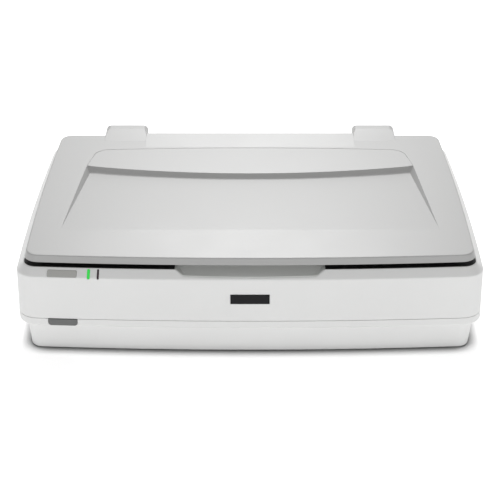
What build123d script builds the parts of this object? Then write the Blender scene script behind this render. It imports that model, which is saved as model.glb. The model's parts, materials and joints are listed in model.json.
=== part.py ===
"""Large-format flatbed scanner: white two-part case, black table frame with glass, moving optical carriage,
belt drive, and a grey document cover on two lift-out hinges.

Frame: millimetres, +Z up, +X to the right seen from the front, front of the machine towards -Y.
Origin: centre of the bounding box at the height of the table that the feet stand on.
"""
from build123d import *
import math
import os

# ---------------------------------------------------------------- case, overall
width = 656.0            # widest line of the case
depth = 458.0            # front of the case to the back of the hinge covers
foot_height = 1.5
foot_radius = 11.0
lower_height = 52.5      # bottom of the lower case to the parting line
wall_height = 66.0       # straight wall of the upper case
bevel_height = 10.5      # bevelled band round the top of the upper case
bevel_depth = 10.0
bevel_round = 3.0
rim_round = 0.6
seam_height = 0.8        # shadow groove just above the parting line
seam_depth = 1.5
front_bow = 11.0         # the front is an arc, this much further out at its middle than at its ends
side_radius = 5200.0     # the sides are arcs too
side_apex = 79.0         # widest place, behind the front edge
corner_radius = 30.0
rear_corner_radius = 30.0
wall = 3.0
fit_gap = 0.3            # between pieces that only lie beside each other
lip_height = 12.0        # rim of the lower case, flush with the upper case
lip_round = 3.0
lip_inset = 11.0         # the lower wall stands this far inside the rim
lip_front_inset = 5.5    # but less at the front
foot_inset = 15.5        # and this far at the floor
lower_corner_radius = 22.0
floor_edge_radius = 1.5
case_screw_post = 6.0    # radius of the corner posts
case_screw_reach = 14.0  # height of the posts in the upper case

# ---------------------------------------------------------------- document table
glass_side = 97.0        # widest line of the case to the edge of the glass
glass_end = 61.0         # front and back of the case to the edge of the glass
glass_thickness = 3.0
window_lap_x = 11.0      # the black frame covers this much of the glass
window_lap_y = 11.5
window_shift = -8.0      # centre of the opening, from the middle of the case
frame_thickness = 2.5
frame_inset = 11.2       # black frame inside the outer line of the case
rear_deck = 29.0         # white strip behind the black frame, where the hinges go in
shelf_thickness = 3.0    # ledge of the upper case under the black frame
strip_width = 12.0       # white reference strip
strip_thickness = 0.5

# ---------------------------------------------------------------- cover
cover_gap = 6.5          # cover rim above the case
cover_inset = 11.5
cover_rear = 22.0        # the cover ends this far in front of the hinge covers' backs
cover_front_radius = 22.0
cover_rear_radius = 22.0
cover_front_height = 9.5
cover_rear_height = 14.5
cover_draft = 18.0
cover_wall = 2.5
cover_edge_round = 2.0
mat_margin_x = 3.0       # the mat is this much smaller than the opening, each side
mat_margin_y = 3.5
mat_clearance = 0.3
recess_depth = 8.0       # wedge-shaped recess in the top of the cover
recess_front_side = 54.5     # widest line of the case to the recess's shallow end
recess_rear_side = 76.0      # and to its deep end
recess_front = 101.0     # from the front of the case to the shallow end
recess_rear = 142.0      # from the back of the case to the deep end's corners
recess_arc = 27.0
recess_lean = 40.0       # its walls lean outwards
recess_fillet = 5.0      # hollow at the foot of its back wall
recess_skin = 2.0
plateau_length = 67.0    # fine line round the level area behind the recess
plateau_close = 12.0
plateau_bow = 8.0
plateau_corner = 24.0
plateau_groove_width = 0.9
plateau_groove_depth = 0.5
panel_thickness = 1.8
panel_lift = 1.0         # inner panel above the cover's rim
panel_gap = 1.2          # beside the cover's wall
panel_corner = 19.0
hump_height = 2.4
hinge_side = 130.0       # widest line of the case to the middle of each hinge
hinge_cover_width = 70.0
hinge_cover_length = 54.0
hinge_cover_top = 27.5   # above the rim of the case
hinge_cover_flat = 16.0  # level part at its back
hinge_cover_draft = 3.0
hinge_cover_skin = 2.5
hinge_cover_round = 8.0
hinge_cover_edge = 1.5
pivot_back = 16.0        # pivot in front of the hinge covers' backs
pivot_height = 19.5      # pivot above the rim of the case
pin_radius = 3.0
running_gap = 0.05
knuckle_radius = 5.2
neck_half = 4.0
post_narrower = 30.0     # the post is this much narrower than the hinge cover
post_thickness = 12.0
post_depth = 47.7        # how far the post stands in its socket
lift = 30.0              # how far the cover rises for a thick original
socket_wall = 2.7
notch_half = 4.0         # half the width of the spring notches
ear_gap = 1.0            # bracket ears beside the post
ear_thickness = 4.0

# ---------------------------------------------------------------- front controls
control_x = -261.6
start_width = 41.0
start_height = 10.0
start_drop = 1.5         # below the middle of the bevelled band
start_travel = 1.2
switch_height = 2.0
ready_x = -224.4
ready_width = 3.6
error_x = -211.2
error_width = 2.4
light_length = 14.0
light_depth = 4.5
light_drop = 1.2         # below the middle of the bevelled band
board_drop = 13.4        # circuit board behind the bevelled face
power_x = -263.5
power_width = 41.0
power_height = 10.0
power_travel = 1.5
power_length = 24.0
badge_width = 54.6
badge_height = 14.6
badge_thickness = 1.4
badge_sink = 0.8
badge_drop = 30.5        # badge centre below the bevel
scoop_width = 210.0
scoop_floor = 8.5        # finger recess below the rim
scoop_draft = 12.0       # its ends lean outwards
scoop_bow = 1.0          # its lower edge is this much lower in the middle
scoop_corner = 9.0
scoop_skin = 1.5
scoop_back = 26.0
scoop_reach = 20.0       # its cutting block runs this far out in front
scoop_sag = 2.0          # hollow of the dish

# ---------------------------------------------------------------- back panel
inlet_side = 178.0       # widest line of the case to the middle of the inlet
inlet_width = 28.0
inlet_flange = 3.0       # flange wider than the body, each side
inlet_bottom = 18.0
inlet_top = 40.0
inlet_lap = 1.5          # flange higher than the body, above and below
usb_x = -96.0
option_x = -140.0
lock_side = 106.0        # widest line of the case to the transport lock
lock_z = 30.0
lock_radius = 9.0
lock_shaft_radius = 4.0
plate_z0 = 16.0
plate_z1 = 42.0
plate_x0 = -168.0
plate_x1 = -70.0
back_plate_thickness = 1.2

# ---------------------------------------------------------------- carriage and drive
carriage_x = 112.0
carriage_longer = 8.0    # the carriage is this much longer than the glass
carriage_bottom = 62.0
carriage_drop = 5.5      # below the glass
carriage_wall = 2.5
home_side = 96.0         # widest line of the case to the middle of the carriage at home
end_side = 110.0         # and at the far end
slit_width = 9.0
mirror_shorter = 3.0     # than the opening
mirror_width = 15.0
mirror_thickness = 1.8
mirror_inset = 13.0      # outer mirrors inside the carriage's wall
sensor_inset = 10.0
lamp_radius = 2.5
shaft_radius = 5.0
shaft_back = 94.0        # back of the case to the guide shaft
shaft_z = 50.0
shaft_side = 46.0
bush_wall = 3.0
bush_length = 14.0
rail_front = 79.0        # front of the case to the slide rail
rail_top = 52.0
belt_back = 69.0         # back of the case to the long belt's middle
belt_bottom = 40.0
belt_width = 8.0
belt_thickness = 1.4
pulley_radius = 8.0
axle_radius = 3.0
idler_side = 62.0
drive_side = 88.0
reducer_radius = 22.0
reducer_bottom = 26.0
motor_spacing = 75.0     # between the motor and the stepped pulley
motor_size = 42.0
motor_height = 24.0
motor_pulley_radius = 6.0
spring_wire = 0.7
spring_radius = 4.1
chassis_thickness = 1.5
chassis_inset = 27.0
boss_height = 2.0
board_thickness = 1.6

# ---------------------------------------------------------------- worked out
y_front = -depth / 2
y_rear = depth / 2
floor_z = foot_height + wall
part_z = foot_height + lower_height
bevel_z = part_z + wall_height
rim_z = bevel_z + bevel_height
cover_z = rim_z + cover_gap
frame_rear_y = y_rear - rear_deck
cover_rear_y = y_rear - cover_rear
bevel_angle = math.degrees(math.atan2(bevel_depth, bevel_height))
pivot_y = y_rear - pivot_back
pivot_z = rim_z + pivot_height
glass_x = width - 2 * glass_side
glass_y = depth - 2 * glass_end
window_x = glass_x - 2 * window_lap_x
window_y = glass_y - 2 * window_lap_y
mat_x = window_x - 2 * mat_margin_x
mat_y = window_y - 2 * mat_margin_y
glass_top = rim_z - frame_thickness
glass_bottom = glass_top - glass_thickness
mat_bottom = glass_top + mat_clearance
panel_z = cover_z + panel_lift
recess_front_x = width / 2 - recess_front_side
recess_rear_x = width / 2 - recess_rear_side
recess_length = depth - recess_front - recess_rear
chassis_z = floor_z + boss_height
chassis_top = chassis_z + chassis_thickness
hinge_x = width / 2 - hinge_side
hinge_sides = (-hinge_x, hinge_x)
post_width = hinge_cover_width - post_narrower
notch_x = post_width / 2 - 2 * notch_half
inlet_x = width / 2 - inlet_side
lock_x = lock_side - width / 2
carriage_y = glass_y + carriage_longer
carriage_top = glass_bottom - carriage_drop
home_x = home_side - width / 2
travel = width - home_side - end_side
mirror_length = window_y - mirror_shorter
mirror_x = carriage_x / 2 - mirror_inset
sensor_x = carriage_x / 2 - sensor_inset
shaft_y = y_rear - shaft_back
shaft_half = width / 2 - shaft_side
rail_y = y_front + rail_front
belt_y = y_rear - belt_back
belt_mid = belt_bottom + belt_width / 2
idler_x = idler_side - width / 2
drive_x = width / 2 - drive_side
motor_y = belt_y - motor_spacing


# ---------------------------------------------------------------- outlines
def half_width(y):
    """Half the width of the case at a depth y, from the arc of its sides."""
    return width / 2 - (y - y_front - side_apex) ** 2 / (2 * side_radius)


def front_y(x):
    """Front line of the case at x, on its bowed arc."""
    return y_front + front_bow * (x / (width / 2)) ** 2


def outline(inset, z, rear=None, front_corner=None, rear_corner=None, front_inset=None):
    """Flat face of the case's plan, moved inwards by inset, at height z."""
    back = y_rear - inset if rear is None else rear
    front = y_front + (inset if front_inset is None else front_inset)
    front_corner = max(corner_radius - inset, 2.0) if front_corner is None else front_corner
    rear_corner = max(rear_corner_radius - inset, 2.0) if rear_corner is None else rear_corner
    ends = front + front_bow
    middle = (ends + back) / 2
    at_front = half_width(ends) - inset
    at_middle = half_width(middle) - inset
    at_back = half_width(back) - inset
    edge = ThreePointArc((-at_front, ends), (0, front), (at_front, ends))
    edge += ThreePointArc((at_front, ends), (at_middle, middle), (at_back, back))
    edge += Line((at_back, back), (-at_back, back))
    edge += ThreePointArc((-at_back, back), (-at_middle, middle), (-at_front, ends))
    face = make_face(edge)
    corners = face.vertices().sort_by(Axis.Y)
    face = fillet(corners[:2], front_corner)
    corners = face.vertices().filter_by(lambda v: v.Y > back - 1e-6 and abs(v.X) > at_back - 1e-6)
    face = fillet(corners, rear_corner)
    return Pos(0, 0, z) * face


def slab(x0, x1, y0, y1, z0, z1):
    """Box between two corners."""
    return Pos((x0 + x1) / 2, (y0 + y1) / 2, (z0 + z1) / 2) * Box(x1 - x0, y1 - y0, z1 - z0)


def rod(x, y, z0, z1, radius):
    """Upright cylinder."""
    return Pos(x, y, (z0 + z1) / 2) * Cylinder(radius, z1 - z0)


def rod_along_x(x0, x1, y, z, radius):
    """Cylinder lying along X."""
    return Pos((x0 + x1) / 2, y, z) * Rot(0, 90, 0) * Cylinder(radius, x1 - x0)


def rod_along_y(x, y0, y1, z, radius):
    """Cylinder lying along Y."""
    return Pos(x, (y0 + y1) / 2, z) * Rot(90, 0, 0) * Cylinder(radius, y1 - y0)


def rounded_slab(size_x, size_y, size_z, radius):
    """Plate with rounded corners, centred, standing on its base."""
    return extrude(RectangleRounded(size_x, size_y, radius), size_z)


def bevel_plane(x):
    """Plane on the bevelled band at x: origin at its middle, z outwards, y up the slope."""
    slope = 2 * front_bow * x / (width / 2) ** 2
    along = Vector(1, slope, 0).normalized()
    out_flat = Vector(slope, -1, 0).normalized()
    tilt = math.atan2(bevel_depth, bevel_height)
    normal = out_flat * math.cos(tilt) + Vector(0, 0, 1) * math.sin(tilt)
    middle = Vector(x, front_y(x) + bevel_depth / 2, bevel_z + bevel_height / 2)
    return Plane(origin=middle, x_dir=along, z_dir=normal)


def front_plane(x, z):
    """Plane on the straight front wall at x: z outwards, y up."""
    slope = 2 * front_bow * x / (width / 2) ** 2
    out = Vector(slope, -1, 0).normalized()
    return Plane(origin=(x, front_y(x), z), x_dir=Vector(1, slope, 0).normalized(), z_dir=out)


# ---------------------------------------------------------------- case
def boss_places():
    """Where the chassis is screwed down."""
    reach_x = half_width(frame_rear_y) - chassis_inset - 22
    return [(x, y) for x in (-reach_x, 0, reach_x) for y in (y_front + 52, y_rear - 48)]


def lower_case():
    """Tray with a flush rim, set-in tapering wall and solid floor."""
    drop = lower_height - lip_height
    taper = math.degrees(math.atan2(foot_inset - lip_inset, drop))
    wall_top = outline(lip_inset, part_z - lip_height, front_corner=lower_corner_radius,
                       rear_corner=lower_corner_radius, front_inset=lip_front_inset)
    body = extrude(wall_top, -drop, taper=taper)
    body = fillet(body.edges().group_by(Axis.Z)[0], floor_edge_radius)
    rim = extrude(outline(0, part_z - lip_height), lip_height)
    rim = fillet(rim.edges().group_by(Axis.Z)[0], lip_round)
    cavity_top = outline(lip_inset + wall, part_z, front_corner=lower_corner_radius - wall,
                         rear_corner=lower_corner_radius - wall, front_inset=lip_front_inset + wall)
    cavity = extrude(cavity_top, -(part_z - floor_z), taper=taper)
    case = body + rim - cavity
    case -= extrude(outline(wall, part_z - lip_height + wall), lip_height)
    for x, y in boss_places():
        case += rod(x, y, floor_z - 0.5, chassis_z, 7)
        case -= rod(x, y, floor_z - 1, chassis_z + 1, 1.7)
    for x, y in foot_places():
        case -= rod(x, y, foot_height - 1, foot_height + 1, foot_radius + fit_gap)
    for x, y in case_screw_places():
        case += rod(x, y, floor_z - 0.5, part_z, case_screw_post)
        case -= rod(x, y, foot_height - 1, part_z + 1, 2.0)
        case -= rod(x, y, foot_height - 1, foot_height + 2.2, 4.2)
    case -= power_button_slot()
    case -= port_window()
    case -= rod_along_y(lock_x, y_rear - 40, y_rear, lock_z, lock_shaft_radius + fit_gap)
    return case


def foot_places():
    """Centres of the four rubber feet."""
    reach = half_width(y_rear) - 52
    return [(x, y) for x in (-reach, reach) for y in (y_front + 46, y_rear - 46)]


def rubber_feet():
    """Four stepped round pads set into the floor."""
    feet = []
    for x, y in foot_places():
        foot = rod(x, y, 0, foot_height + 1, foot_radius)
        foot = fillet(foot.edges().group_by(Axis.Z)[0], 1.0)
        feet.append(foot)
    return Compound(children=feet)


def case_screw_places():
    """Screws that pull the two cases together from below."""
    reach = half_width(y_rear) - 27
    return [(x, y) for x in (-reach, reach) for y in (y_front + 30, y_rear - 30)]


def screw(x, y, head_z, length, up=True, head=3.2, shank=1.5, head_height=2.0):
    """Pan-head screw along Z with a cross recess; its head's bearing face at head_z."""
    sign = 1 if up else -1
    low, high = sorted((head_z, head_z + sign * length))
    body = rod(x, y, low, high, shank)
    low, high = sorted((head_z, head_z - sign * head_height))
    cap = rod(x, y, low, high, head)
    outer = head_z - sign * head_height
    slot_low, slot_high = sorted((outer, outer + sign * 0.9))
    cap -= slab(x - 1.8, x + 1.8, y - 0.35, y + 0.35, slot_low, slot_high)
    cap -= slab(x - 0.35, x + 0.35, y - 1.8, y + 1.8, slot_low, slot_high)
    return body + cap


def case_screws():
    """Four long screws up through the lower case."""
    made = [screw(x, y, foot_height + 2.2, part_z + 10 - foot_height - 2.2, shank=1.75, head=3.6,
                  head_height=2.0) for x, y in case_screw_places()]
    return Compound(children=made)


def case_block():
    """Solid outside of the upper case."""
    block = extrude(outline(0, part_z), wall_height)
    block += extrude(outline(0, bevel_z), bevel_height, taper=bevel_angle)
    shoulder = block.edges().filter_by(lambda e: abs(e.center().Z - bevel_z) < 0.01)
    block = fillet(shoulder, bevel_round)
    rim = block.edges().filter_by(lambda e: abs(e.center().Z - rim_z) < 0.01)
    return fillet(rim, rim_round)


def upper_case():
    """Shell with the bevelled band, rabbet for the table frame, and pads for the hinge sockets."""
    outer = case_block()
    for x in hinge_sides:
        outer += slab(x - post_width / 2 - 12, x + post_width / 2 + 12, frame_rear_y + 1, y_rear - 3,
                      bevel_z - 6, rim_z)
    shelf_z = glass_top - shelf_thickness
    inner = extrude(outline(wall, part_z), wall_height - 1)
    inner += extrude(outline(wall, bevel_z - 1), shelf_z - bevel_z + 1, taper=bevel_angle)
    case = outer - inner
    case -= extrude(outline(0, part_z) - outline(seam_depth, part_z), seam_height)
    case -= extrude(outline(frame_inset - fit_gap, glass_top, rear=frame_rear_y + fit_gap,
                            rear_corner=6), 20)
    case -= extrude(outline(frame_inset + 5, shelf_z - 5, rear=frame_rear_y - 4, rear_corner=6), 20)
    for x in hinge_sides:
        case += slab(x - post_width / 2 - 9, x + post_width / 2 + 9, pivot_y - 12, y_rear - wall,
                     rim_z - 14, rim_z)
        case -= socket_block(x, fit_gap)
    for x, y in case_screw_places():
        top = part_z + case_screw_reach
        ribs = slab(x - 1, x + 1, min(y, y * 2), max(y, y * 2), part_z + seam_height, top)
        ribs += slab(min(x, x * 2), max(x, x * 2), y - 1, y + 1, part_z + seam_height, top)
        case += (ribs & outer) + rod(x, y, part_z, top, case_screw_post)
        case -= rod(x, y, part_z - 1, top - 2, 1.95)
    for x in (control_x + 28, error_x + 9):
        case += extrude(bevel_plane(x).offset(-2) * Circle(2.5), -(board_drop - 2 - fit_gap))
    case -= scoop_block(fit_gap)
    face = start_plane()
    case -= extrude(face * RectangleRounded(start_width + 2 * fit_gap, start_height + 2 * fit_gap, 2), 4,
                    both=True)
    case -= extrude(face.offset(-2.4) * Rectangle(start_width + 6, start_height + 1.5), -6)
    case -= light_bar(ready_x, ready_width, fit_gap, 6)
    case -= light_bar(error_x, error_width, fit_gap, 6)
    mark = front_plane(0, bevel_z - badge_drop)
    case -= extrude(mark * Rectangle(badge_width + fit_gap, badge_height + fit_gap), badge_sink, both=True)
    return case


def badge_plate():
    """Blank black plate on the front."""
    mark = front_plane(0, bevel_z - badge_drop)
    return extrude(mark.offset(-badge_sink) * RectangleRounded(badge_width, badge_height, 0.6), badge_thickness)


# ---------------------------------------------------------------- finger recess
def scoop_view(grow):
    """Front view of the finger recess, moved outwards by grow: bowed floor, ends that lean outwards."""
    floor = rim_z - scoop_floor - grow
    top = rim_z + 2
    lean = scoop_draft / scoop_floor
    half = scoop_width / 2 + grow
    foot = half - (rim_z - floor) * lean
    high = half + (top - rim_z) * lean
    edge = ThreePointArc((-foot, floor + scoop_bow), (0, floor), (foot, floor + scoop_bow))
    edge += Polyline((foot, floor + scoop_bow), (high, top), (-high, top), (-foot, floor + scoop_bow))
    face = make_face(edge)
    return fillet(face.vertices().sort_by(Axis.Y)[:2], scoop_corner + grow)


def scoop_block(gap):
    """Outer block of the finger recess, cut out of the case and the table frame."""
    view = Plane.XZ.offset(-y_front - scoop_back - gap) * scoop_view(gap)
    return extrude(view, scoop_back + gap + scoop_reach)


def grip_scoop():
    """Grey liner of the finger recess: a shallow dish that climbs under the cover."""
    low = rim_z - scoop_floor + scoop_skin
    start = y_front + 2
    back = y_front + scoop_back
    middle = ((start + back) / 2, (low + rim_z) / 2 - scoop_sag)
    edge = ThreePointArc((start, low), middle, (back, rim_z))
    edge += Polyline((back, rim_z), (back + 2, rim_z), (back + 2, rim_z + 5), (y_front - 5, rim_z + 5),
                     (y_front - 5, low), (start, low))
    dish = extrude(Plane.YZ * make_face(edge), width / 2, both=True)
    inside = extrude(Plane.XZ.offset(-back - 2) * scoop_view(-scoop_skin), scoop_back + 8)
    under = side_prism([(y_front + 12, low - 3), (back + 1, low - 3), (back + 1, rim_z - 4.5)],
                       scoop_width / 2 - scoop_draft - scoop_corner)
    return (scoop_block(0) & case_block()) - (dish & inside) - under


# ---------------------------------------------------------------- table
def table_frame():
    """Black frame round the glass."""
    plate = extrude(outline(frame_inset, glass_top, rear=frame_rear_y, rear_corner=5.7), frame_thickness)
    plate = chamfer(plate.edges().group_by(Axis.Z)[-1], 0.5)
    window = Pos(0, window_shift, glass_top) * rounded_slab(window_x, window_y, frame_thickness, 1.5)
    plate -= window
    rim = plate.edges().group_by(Axis.Z)[-1].filter_by(
        lambda e: abs(e.center().X) < window_x / 2 + 1 and abs(e.center().Y - window_shift) < window_y / 2 + 1)
    plate = chamfer(rim, 1.2)
    plate -= scoop_block(fit_gap)
    guides = []
    for sx, sy in ((-1, -1), (-1, 1), (1, -1), (1, 1)):
        x = sx * (glass_x / 2 + 2.0)
        y = window_shift + sy * (glass_y / 2 - 20)
        guides.append(slab(x - 1.5, x + 1.5, y - 6, y + 6, glass_bottom, glass_top))
    for guide in guides:
        plate += guide
    return plate


def document_glass():
    """Float glass under the frame."""
    plate = slab(-glass_x / 2, glass_x / 2, window_shift - glass_y / 2, window_shift + glass_y / 2,
                 glass_bottom, glass_top)
    return chamfer(plate.edges().filter_by(Axis.Z), 1.5)


def calibration_strip():
    """White reference strip under the glass, over the carriage's home."""
    return slab(home_x - 2, home_x - 2 + strip_width, window_shift - window_y / 2 + 1,
                window_shift + window_y / 2 - 1, glass_bottom - strip_thickness, glass_bottom)


# ---------------------------------------------------------------- front controls
def light_bar(x, size, gap, length):
    """Upright bar that shows on the bevelled band."""
    face = bevel_plane(x)
    shape = Pos(0, -light_drop) * RectangleRounded(size + 2 * gap, light_length + 2 * gap, size / 2 - 0.1)
    return extrude(face.offset(0.3 - length) * shape, length + (2 if gap else 0))


def ready_light():
    """Green light guide."""
    return light_bar(ready_x, ready_width, 0, light_depth)


def error_light():
    """Red light guide, unlit."""
    return light_bar(error_x, error_width, 0, light_depth)


def start_plane():
    """Plane of the start key's face, a little below the middle of the bevelled band."""
    face = bevel_plane(control_x)
    return Plane(origin=face.origin - face.y_dir * start_drop, x_dir=face.x_dir, z_dir=face.z_dir)


def start_button():
    """Key on the bevelled band, with a wider flange behind it."""
    face = start_plane()
    key = extrude(face.offset(-5) * RectangleRounded(start_width, start_height, 1.8), 5.8)
    key = fillet(key.faces().sort_by(lambda f: (f.center() - face.origin).dot(face.z_dir))[-1].edges(), 0.5)
    flange = extrude(face.offset(-5.2) * Rectangle(start_width + 3, start_height - 1), 2.2)
    reach = board_drop - switch_height - start_travel - 0.1
    stem = extrude(face.offset(-reach) * Circle(2), reach - 4)
    return key + flange + stem


def panel_board():
    """Small circuit board behind the start key and the two lights."""
    mid = (control_x + error_x) / 2 + 4
    face = bevel_plane(mid)
    board = extrude(face.offset(-board_drop) * Rectangle(72, 18), -board_thickness)
    board += extrude(start_plane().offset(-board_drop - 1) * Rectangle(6, 6), 1 + switch_height)
    for x in (ready_x, error_x):
        lamp_face = bevel_plane(x)
        board += extrude(lamp_face.offset(-board_drop - 1) * Rectangle(3, 5), 5)
    return board


def power_plane():
    """Plane of the power key's face, below the parting line."""
    return front_plane(power_x, part_z - fit_gap - power_height / 2)


def power_button_slot():
    """Slot for the power key, open at the parting line."""
    face = power_plane()
    slot = extrude(face.offset(4) * RectangleRounded(power_width + 0.8, power_height + 0.8, 4.9),
                   -power_length - 12)
    top = extrude((face.offset(4) * Pos(0, power_height / 2)) * Rectangle(power_width + 0.8, power_height),
                  -power_length - 12)
    return slot + top


def power_button():
    """Dark key with two rounded lower corners."""
    face = power_plane().offset(0.6)
    upper = extrude((face * Pos(0, power_height / 4)) * Rectangle(power_width, power_height / 2), -power_length)
    lower = extrude(face * RectangleRounded(power_width, power_height, 4.5), -power_length)
    key = upper + lower
    return fillet(key.faces().sort_by(lambda f: (f.center() - face.origin).dot(face.z_dir))[-1].edges(), 0.5)


def power_switch():
    """Push switch behind the power key, on its bracket."""
    face = power_plane().offset(0.6)
    body = extrude(face.offset(-power_length - 4) * Rectangle(16, 9), -14)
    plunger = extrude(face.offset(-power_length - power_travel - 0.3) * Circle(1.8), -2.8)
    y1 = front_y(power_x) - 0.6 + power_length + 18
    leg = slab(power_x - 7, power_x + 7, y1 - 4, y1 - 2, chassis_top, part_z - power_height / 2)
    return body + plunger + leg


# ---------------------------------------------------------------- back panel
def back_wall_y(z):
    """Outer face of the lower case's back wall at height z."""
    drop = lower_height - lip_height
    share = (part_z - lip_height - z) / drop
    return y_rear - lip_inset - (foot_inset - lip_inset) * share


def inner_wall_y(z):
    """Inner face of the lower case's back wall at height z."""
    slope = (foot_inset - lip_inset) / (lower_height - lip_height)
    return y_rear - lip_inset - wall - slope * (part_z - z)


def port_window():
    """Openings in the back wall: one for the port plate and one for the power inlet."""
    y0 = back_wall_y(foot_height) - 8
    ports = slab(plate_x0 + 4, plate_x1 - 4, y0, y_rear, plate_z0 + 2, plate_z1 - 2)
    half = inlet_width / 2 + inlet_flange + fit_gap
    lap = inlet_lap + fit_gap
    inlet = slab(inlet_x - half, inlet_x + half, y0, y_rear, inlet_bottom - lap, inlet_top + lap)
    return ports + inlet


def port_face():
    """Outer face of the port plate, just inside the sloping back wall."""
    return inner_wall_y(plate_z0) - fit_gap


def port_plate():
    """Steel plate inside the back wall that carries the ports."""
    y1 = port_face()
    plate = slab(plate_x0, plate_x1, y1 - back_plate_thickness, y1, plate_z0, plate_z1)
    plate -= slab(usb_x - 6.3, usb_x + 6.3, y1 - 5, y1 + 5, 21.7, 33.1)
    plate -= slab(option_x - 17.3, option_x + 17.3, y1 - 5, y1 + 5, 22.7, 33.3)
    return plate


def usb_port():
    """Square data socket with a shell and a tongue."""
    y1 = port_face() + 1.5
    shell = slab(usb_x - 6, usb_x + 6, y1 - 17, y1, 22, 32.8)
    shell -= slab(usb_x - 5.4, usb_x + 5.4, y1 - 14, y1 + 1, 22.6, 32.2)
    shell += slab(usb_x - 3, usb_x + 3, y1 - 14, y1 - 5.5, 26, 28.8)
    return shell


def option_port():
    """Wide flat socket for an add-on unit, with its contact bar."""
    y1 = port_face() + 1.5
    shell = slab(option_x - 17, option_x + 17, y1 - 16, y1, 23, 33)
    shell -= slab(option_x - 15.8, option_x + 15.8, y1 - 13, y1 + 1, 24.2, 31.8)
    shell += slab(option_x - 14, option_x + 14, y1 - 13, y1 - 5.5, 27.2, 28.8)
    return shell


def power_inlet():
    """Three-pin mains inlet set in the back wall."""
    y1 = back_wall_y(foot_height) + 1.0
    half = inlet_width / 2
    body = slab(inlet_x - half, inlet_x + half, y1 - 24, y1, inlet_bottom, inlet_top)
    flange = slab(inlet_x - half - inlet_flange, inlet_x + half + inlet_flange, y1 - 2, y1,
                  inlet_bottom - inlet_lap, inlet_top + inlet_lap)
    body = body + fillet(flange.edges().filter_by(Axis.Y), 3)
    pocket = slab(inlet_x - half + 2, inlet_x + half - 2, y1 - 17, y1 + 3, inlet_bottom + 3, inlet_top - 3)
    pocket = chamfer(pocket.edges().filter_by(Axis.Y).group_by(Axis.Z)[-1], 4)
    body -= pocket
    for x, z in ((inlet_x - 7, 27), (inlet_x, 31.5), (inlet_x + 7, 27)):
        body += slab(x - 1, x + 1, y1 - 18, y1 - 3.8, z - 2, z + 2)
    return body


def transport_lock():
    """Coin-slot knob outside the back wall, with a shaft and a latch arm inside."""
    face = back_wall_y(lock_z + lock_radius) + fit_gap
    knob = rod_along_y(lock_x, face, face + 4, lock_z, lock_radius)
    knob = fillet(knob.edges().group_by(Axis.Y)[-1], 0.8)
    knob -= slab(lock_x - 7.5, lock_x + 7.5, face + 2.2, face + 6, lock_z - 1, lock_z + 1)
    shaft = rod_along_y(lock_x, face - 20, face + 1, lock_z, lock_shaft_radius)
    arm = slab(lock_x - 5, lock_x + 18, face - 20, face - 14, lock_z - 4, lock_z + 4)
    return knob + shaft + arm


# ---------------------------------------------------------------- chassis, rails and boards
def base_chassis():
    """Pressed steel plate screwed to the floor bosses."""
    plate = extrude(outline(chassis_inset, chassis_z, front_corner=10, rear_corner=10), chassis_thickness)
    flange = plate - extrude(outline(chassis_inset + 1.5, chassis_z, front_corner=8.5, rear_corner=8.5), 10)
    front_edge = extrude(outline(chassis_inset, chassis_z, front_corner=10, rear_corner=10), 9)
    front_edge -= extrude(outline(chassis_inset + 1.5, chassis_z, front_corner=8.5, rear_corner=8.5), 9)
    cut = slab(-width, width, y_front + 60, y_rear, 0, part_z)
    plate += front_edge - cut
    for x, y in boss_places():
        plate -= rod(x, y, 0, part_z, 1.8)
    for x, y in case_screw_places():
        plate -= rod(x, y, 0, part_z, 7)
    for x in (-180, -60, 60, 180):
        plate -= Pos(x, -70, 0) * extrude(RectangleRounded(70, 120, 12), part_z)
    return plate


def chassis_screws():
    """Screws through the chassis into the floor bosses."""
    return Compound(children=[screw(x, y, chassis_top, 4.0, up=False, shank=1.45) for x, y in boss_places()])


def guide_shaft():
    """Ground steel rod that the carriage runs on."""
    return chamfer(rod_along_x(-shaft_half, shaft_half, shaft_y, shaft_z, shaft_radius).edges(), 0.8)


def shaft_holders():
    """Two stands that hold the ends of the guide shaft."""
    made = []
    for sign in (-1, 1):
        x0, x1 = sorted((sign * (shaft_half - 16), sign * (shaft_half + 2)))
        stand = slab(x0, x1, shaft_y - 9, shaft_y + 9, chassis_top, shaft_z + 9)
        inner0, inner1 = sorted((sign * (shaft_half - 20), sign * (shaft_half + 0.2)))
        stand -= rod_along_x(inner0, inner1, shaft_y, shaft_z, shaft_radius + running_gap)
        made.append(chamfer(stand.edges().filter_by(Axis.X).group_by(Axis.Z)[-1], 4))
    return Compound(children=made)


def slide_rail():
    """Folded steel rail under the front end of the carriage."""
    half = shaft_half - 4
    web = slab(-half, half, rail_y + 6, rail_y + 8, chassis_top, rail_top)
    top = slab(-half, half, rail_y - 8, rail_y + 8, rail_top - 2, rail_top)
    foot = slab(-half, half, rail_y + 6, rail_y + 22, chassis_top, chassis_top + 2)
    return web + top + foot


def main_board():
    """Control board on four pillars, with its larger chips and a heat sink."""
    z = chassis_top + 6
    x0, x1, y0, y1 = -172, -20, y_rear - 133, back_wall_y(foot_height) - 9
    board = slab(x0, x1, y0, y1, z, z + board_thickness)
    for x in (x0 + 6, x1 - 6):
        for y in (y0 + 6, y1 - 6):
            board += rod(x, y, chassis_top, z, 3)
    top = z + board_thickness
    board += slab(-90, -62, y0 + 24, y0 + 52, top, top + 3)
    board += slab(-140, -122, y0 + 16, y0 + 34, top, top + 2.2)
    board += slab(-46, -30, y0 + 8, y0 + 20, top, top + 5)
    for n in range(4):
        board += rod(-36, y0 + 40 + 14 * n, top, top + 11, 4)
    board += slab(-52, -44, y0 + 64, y0 + 94, top, top + 6)
    return board


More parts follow.
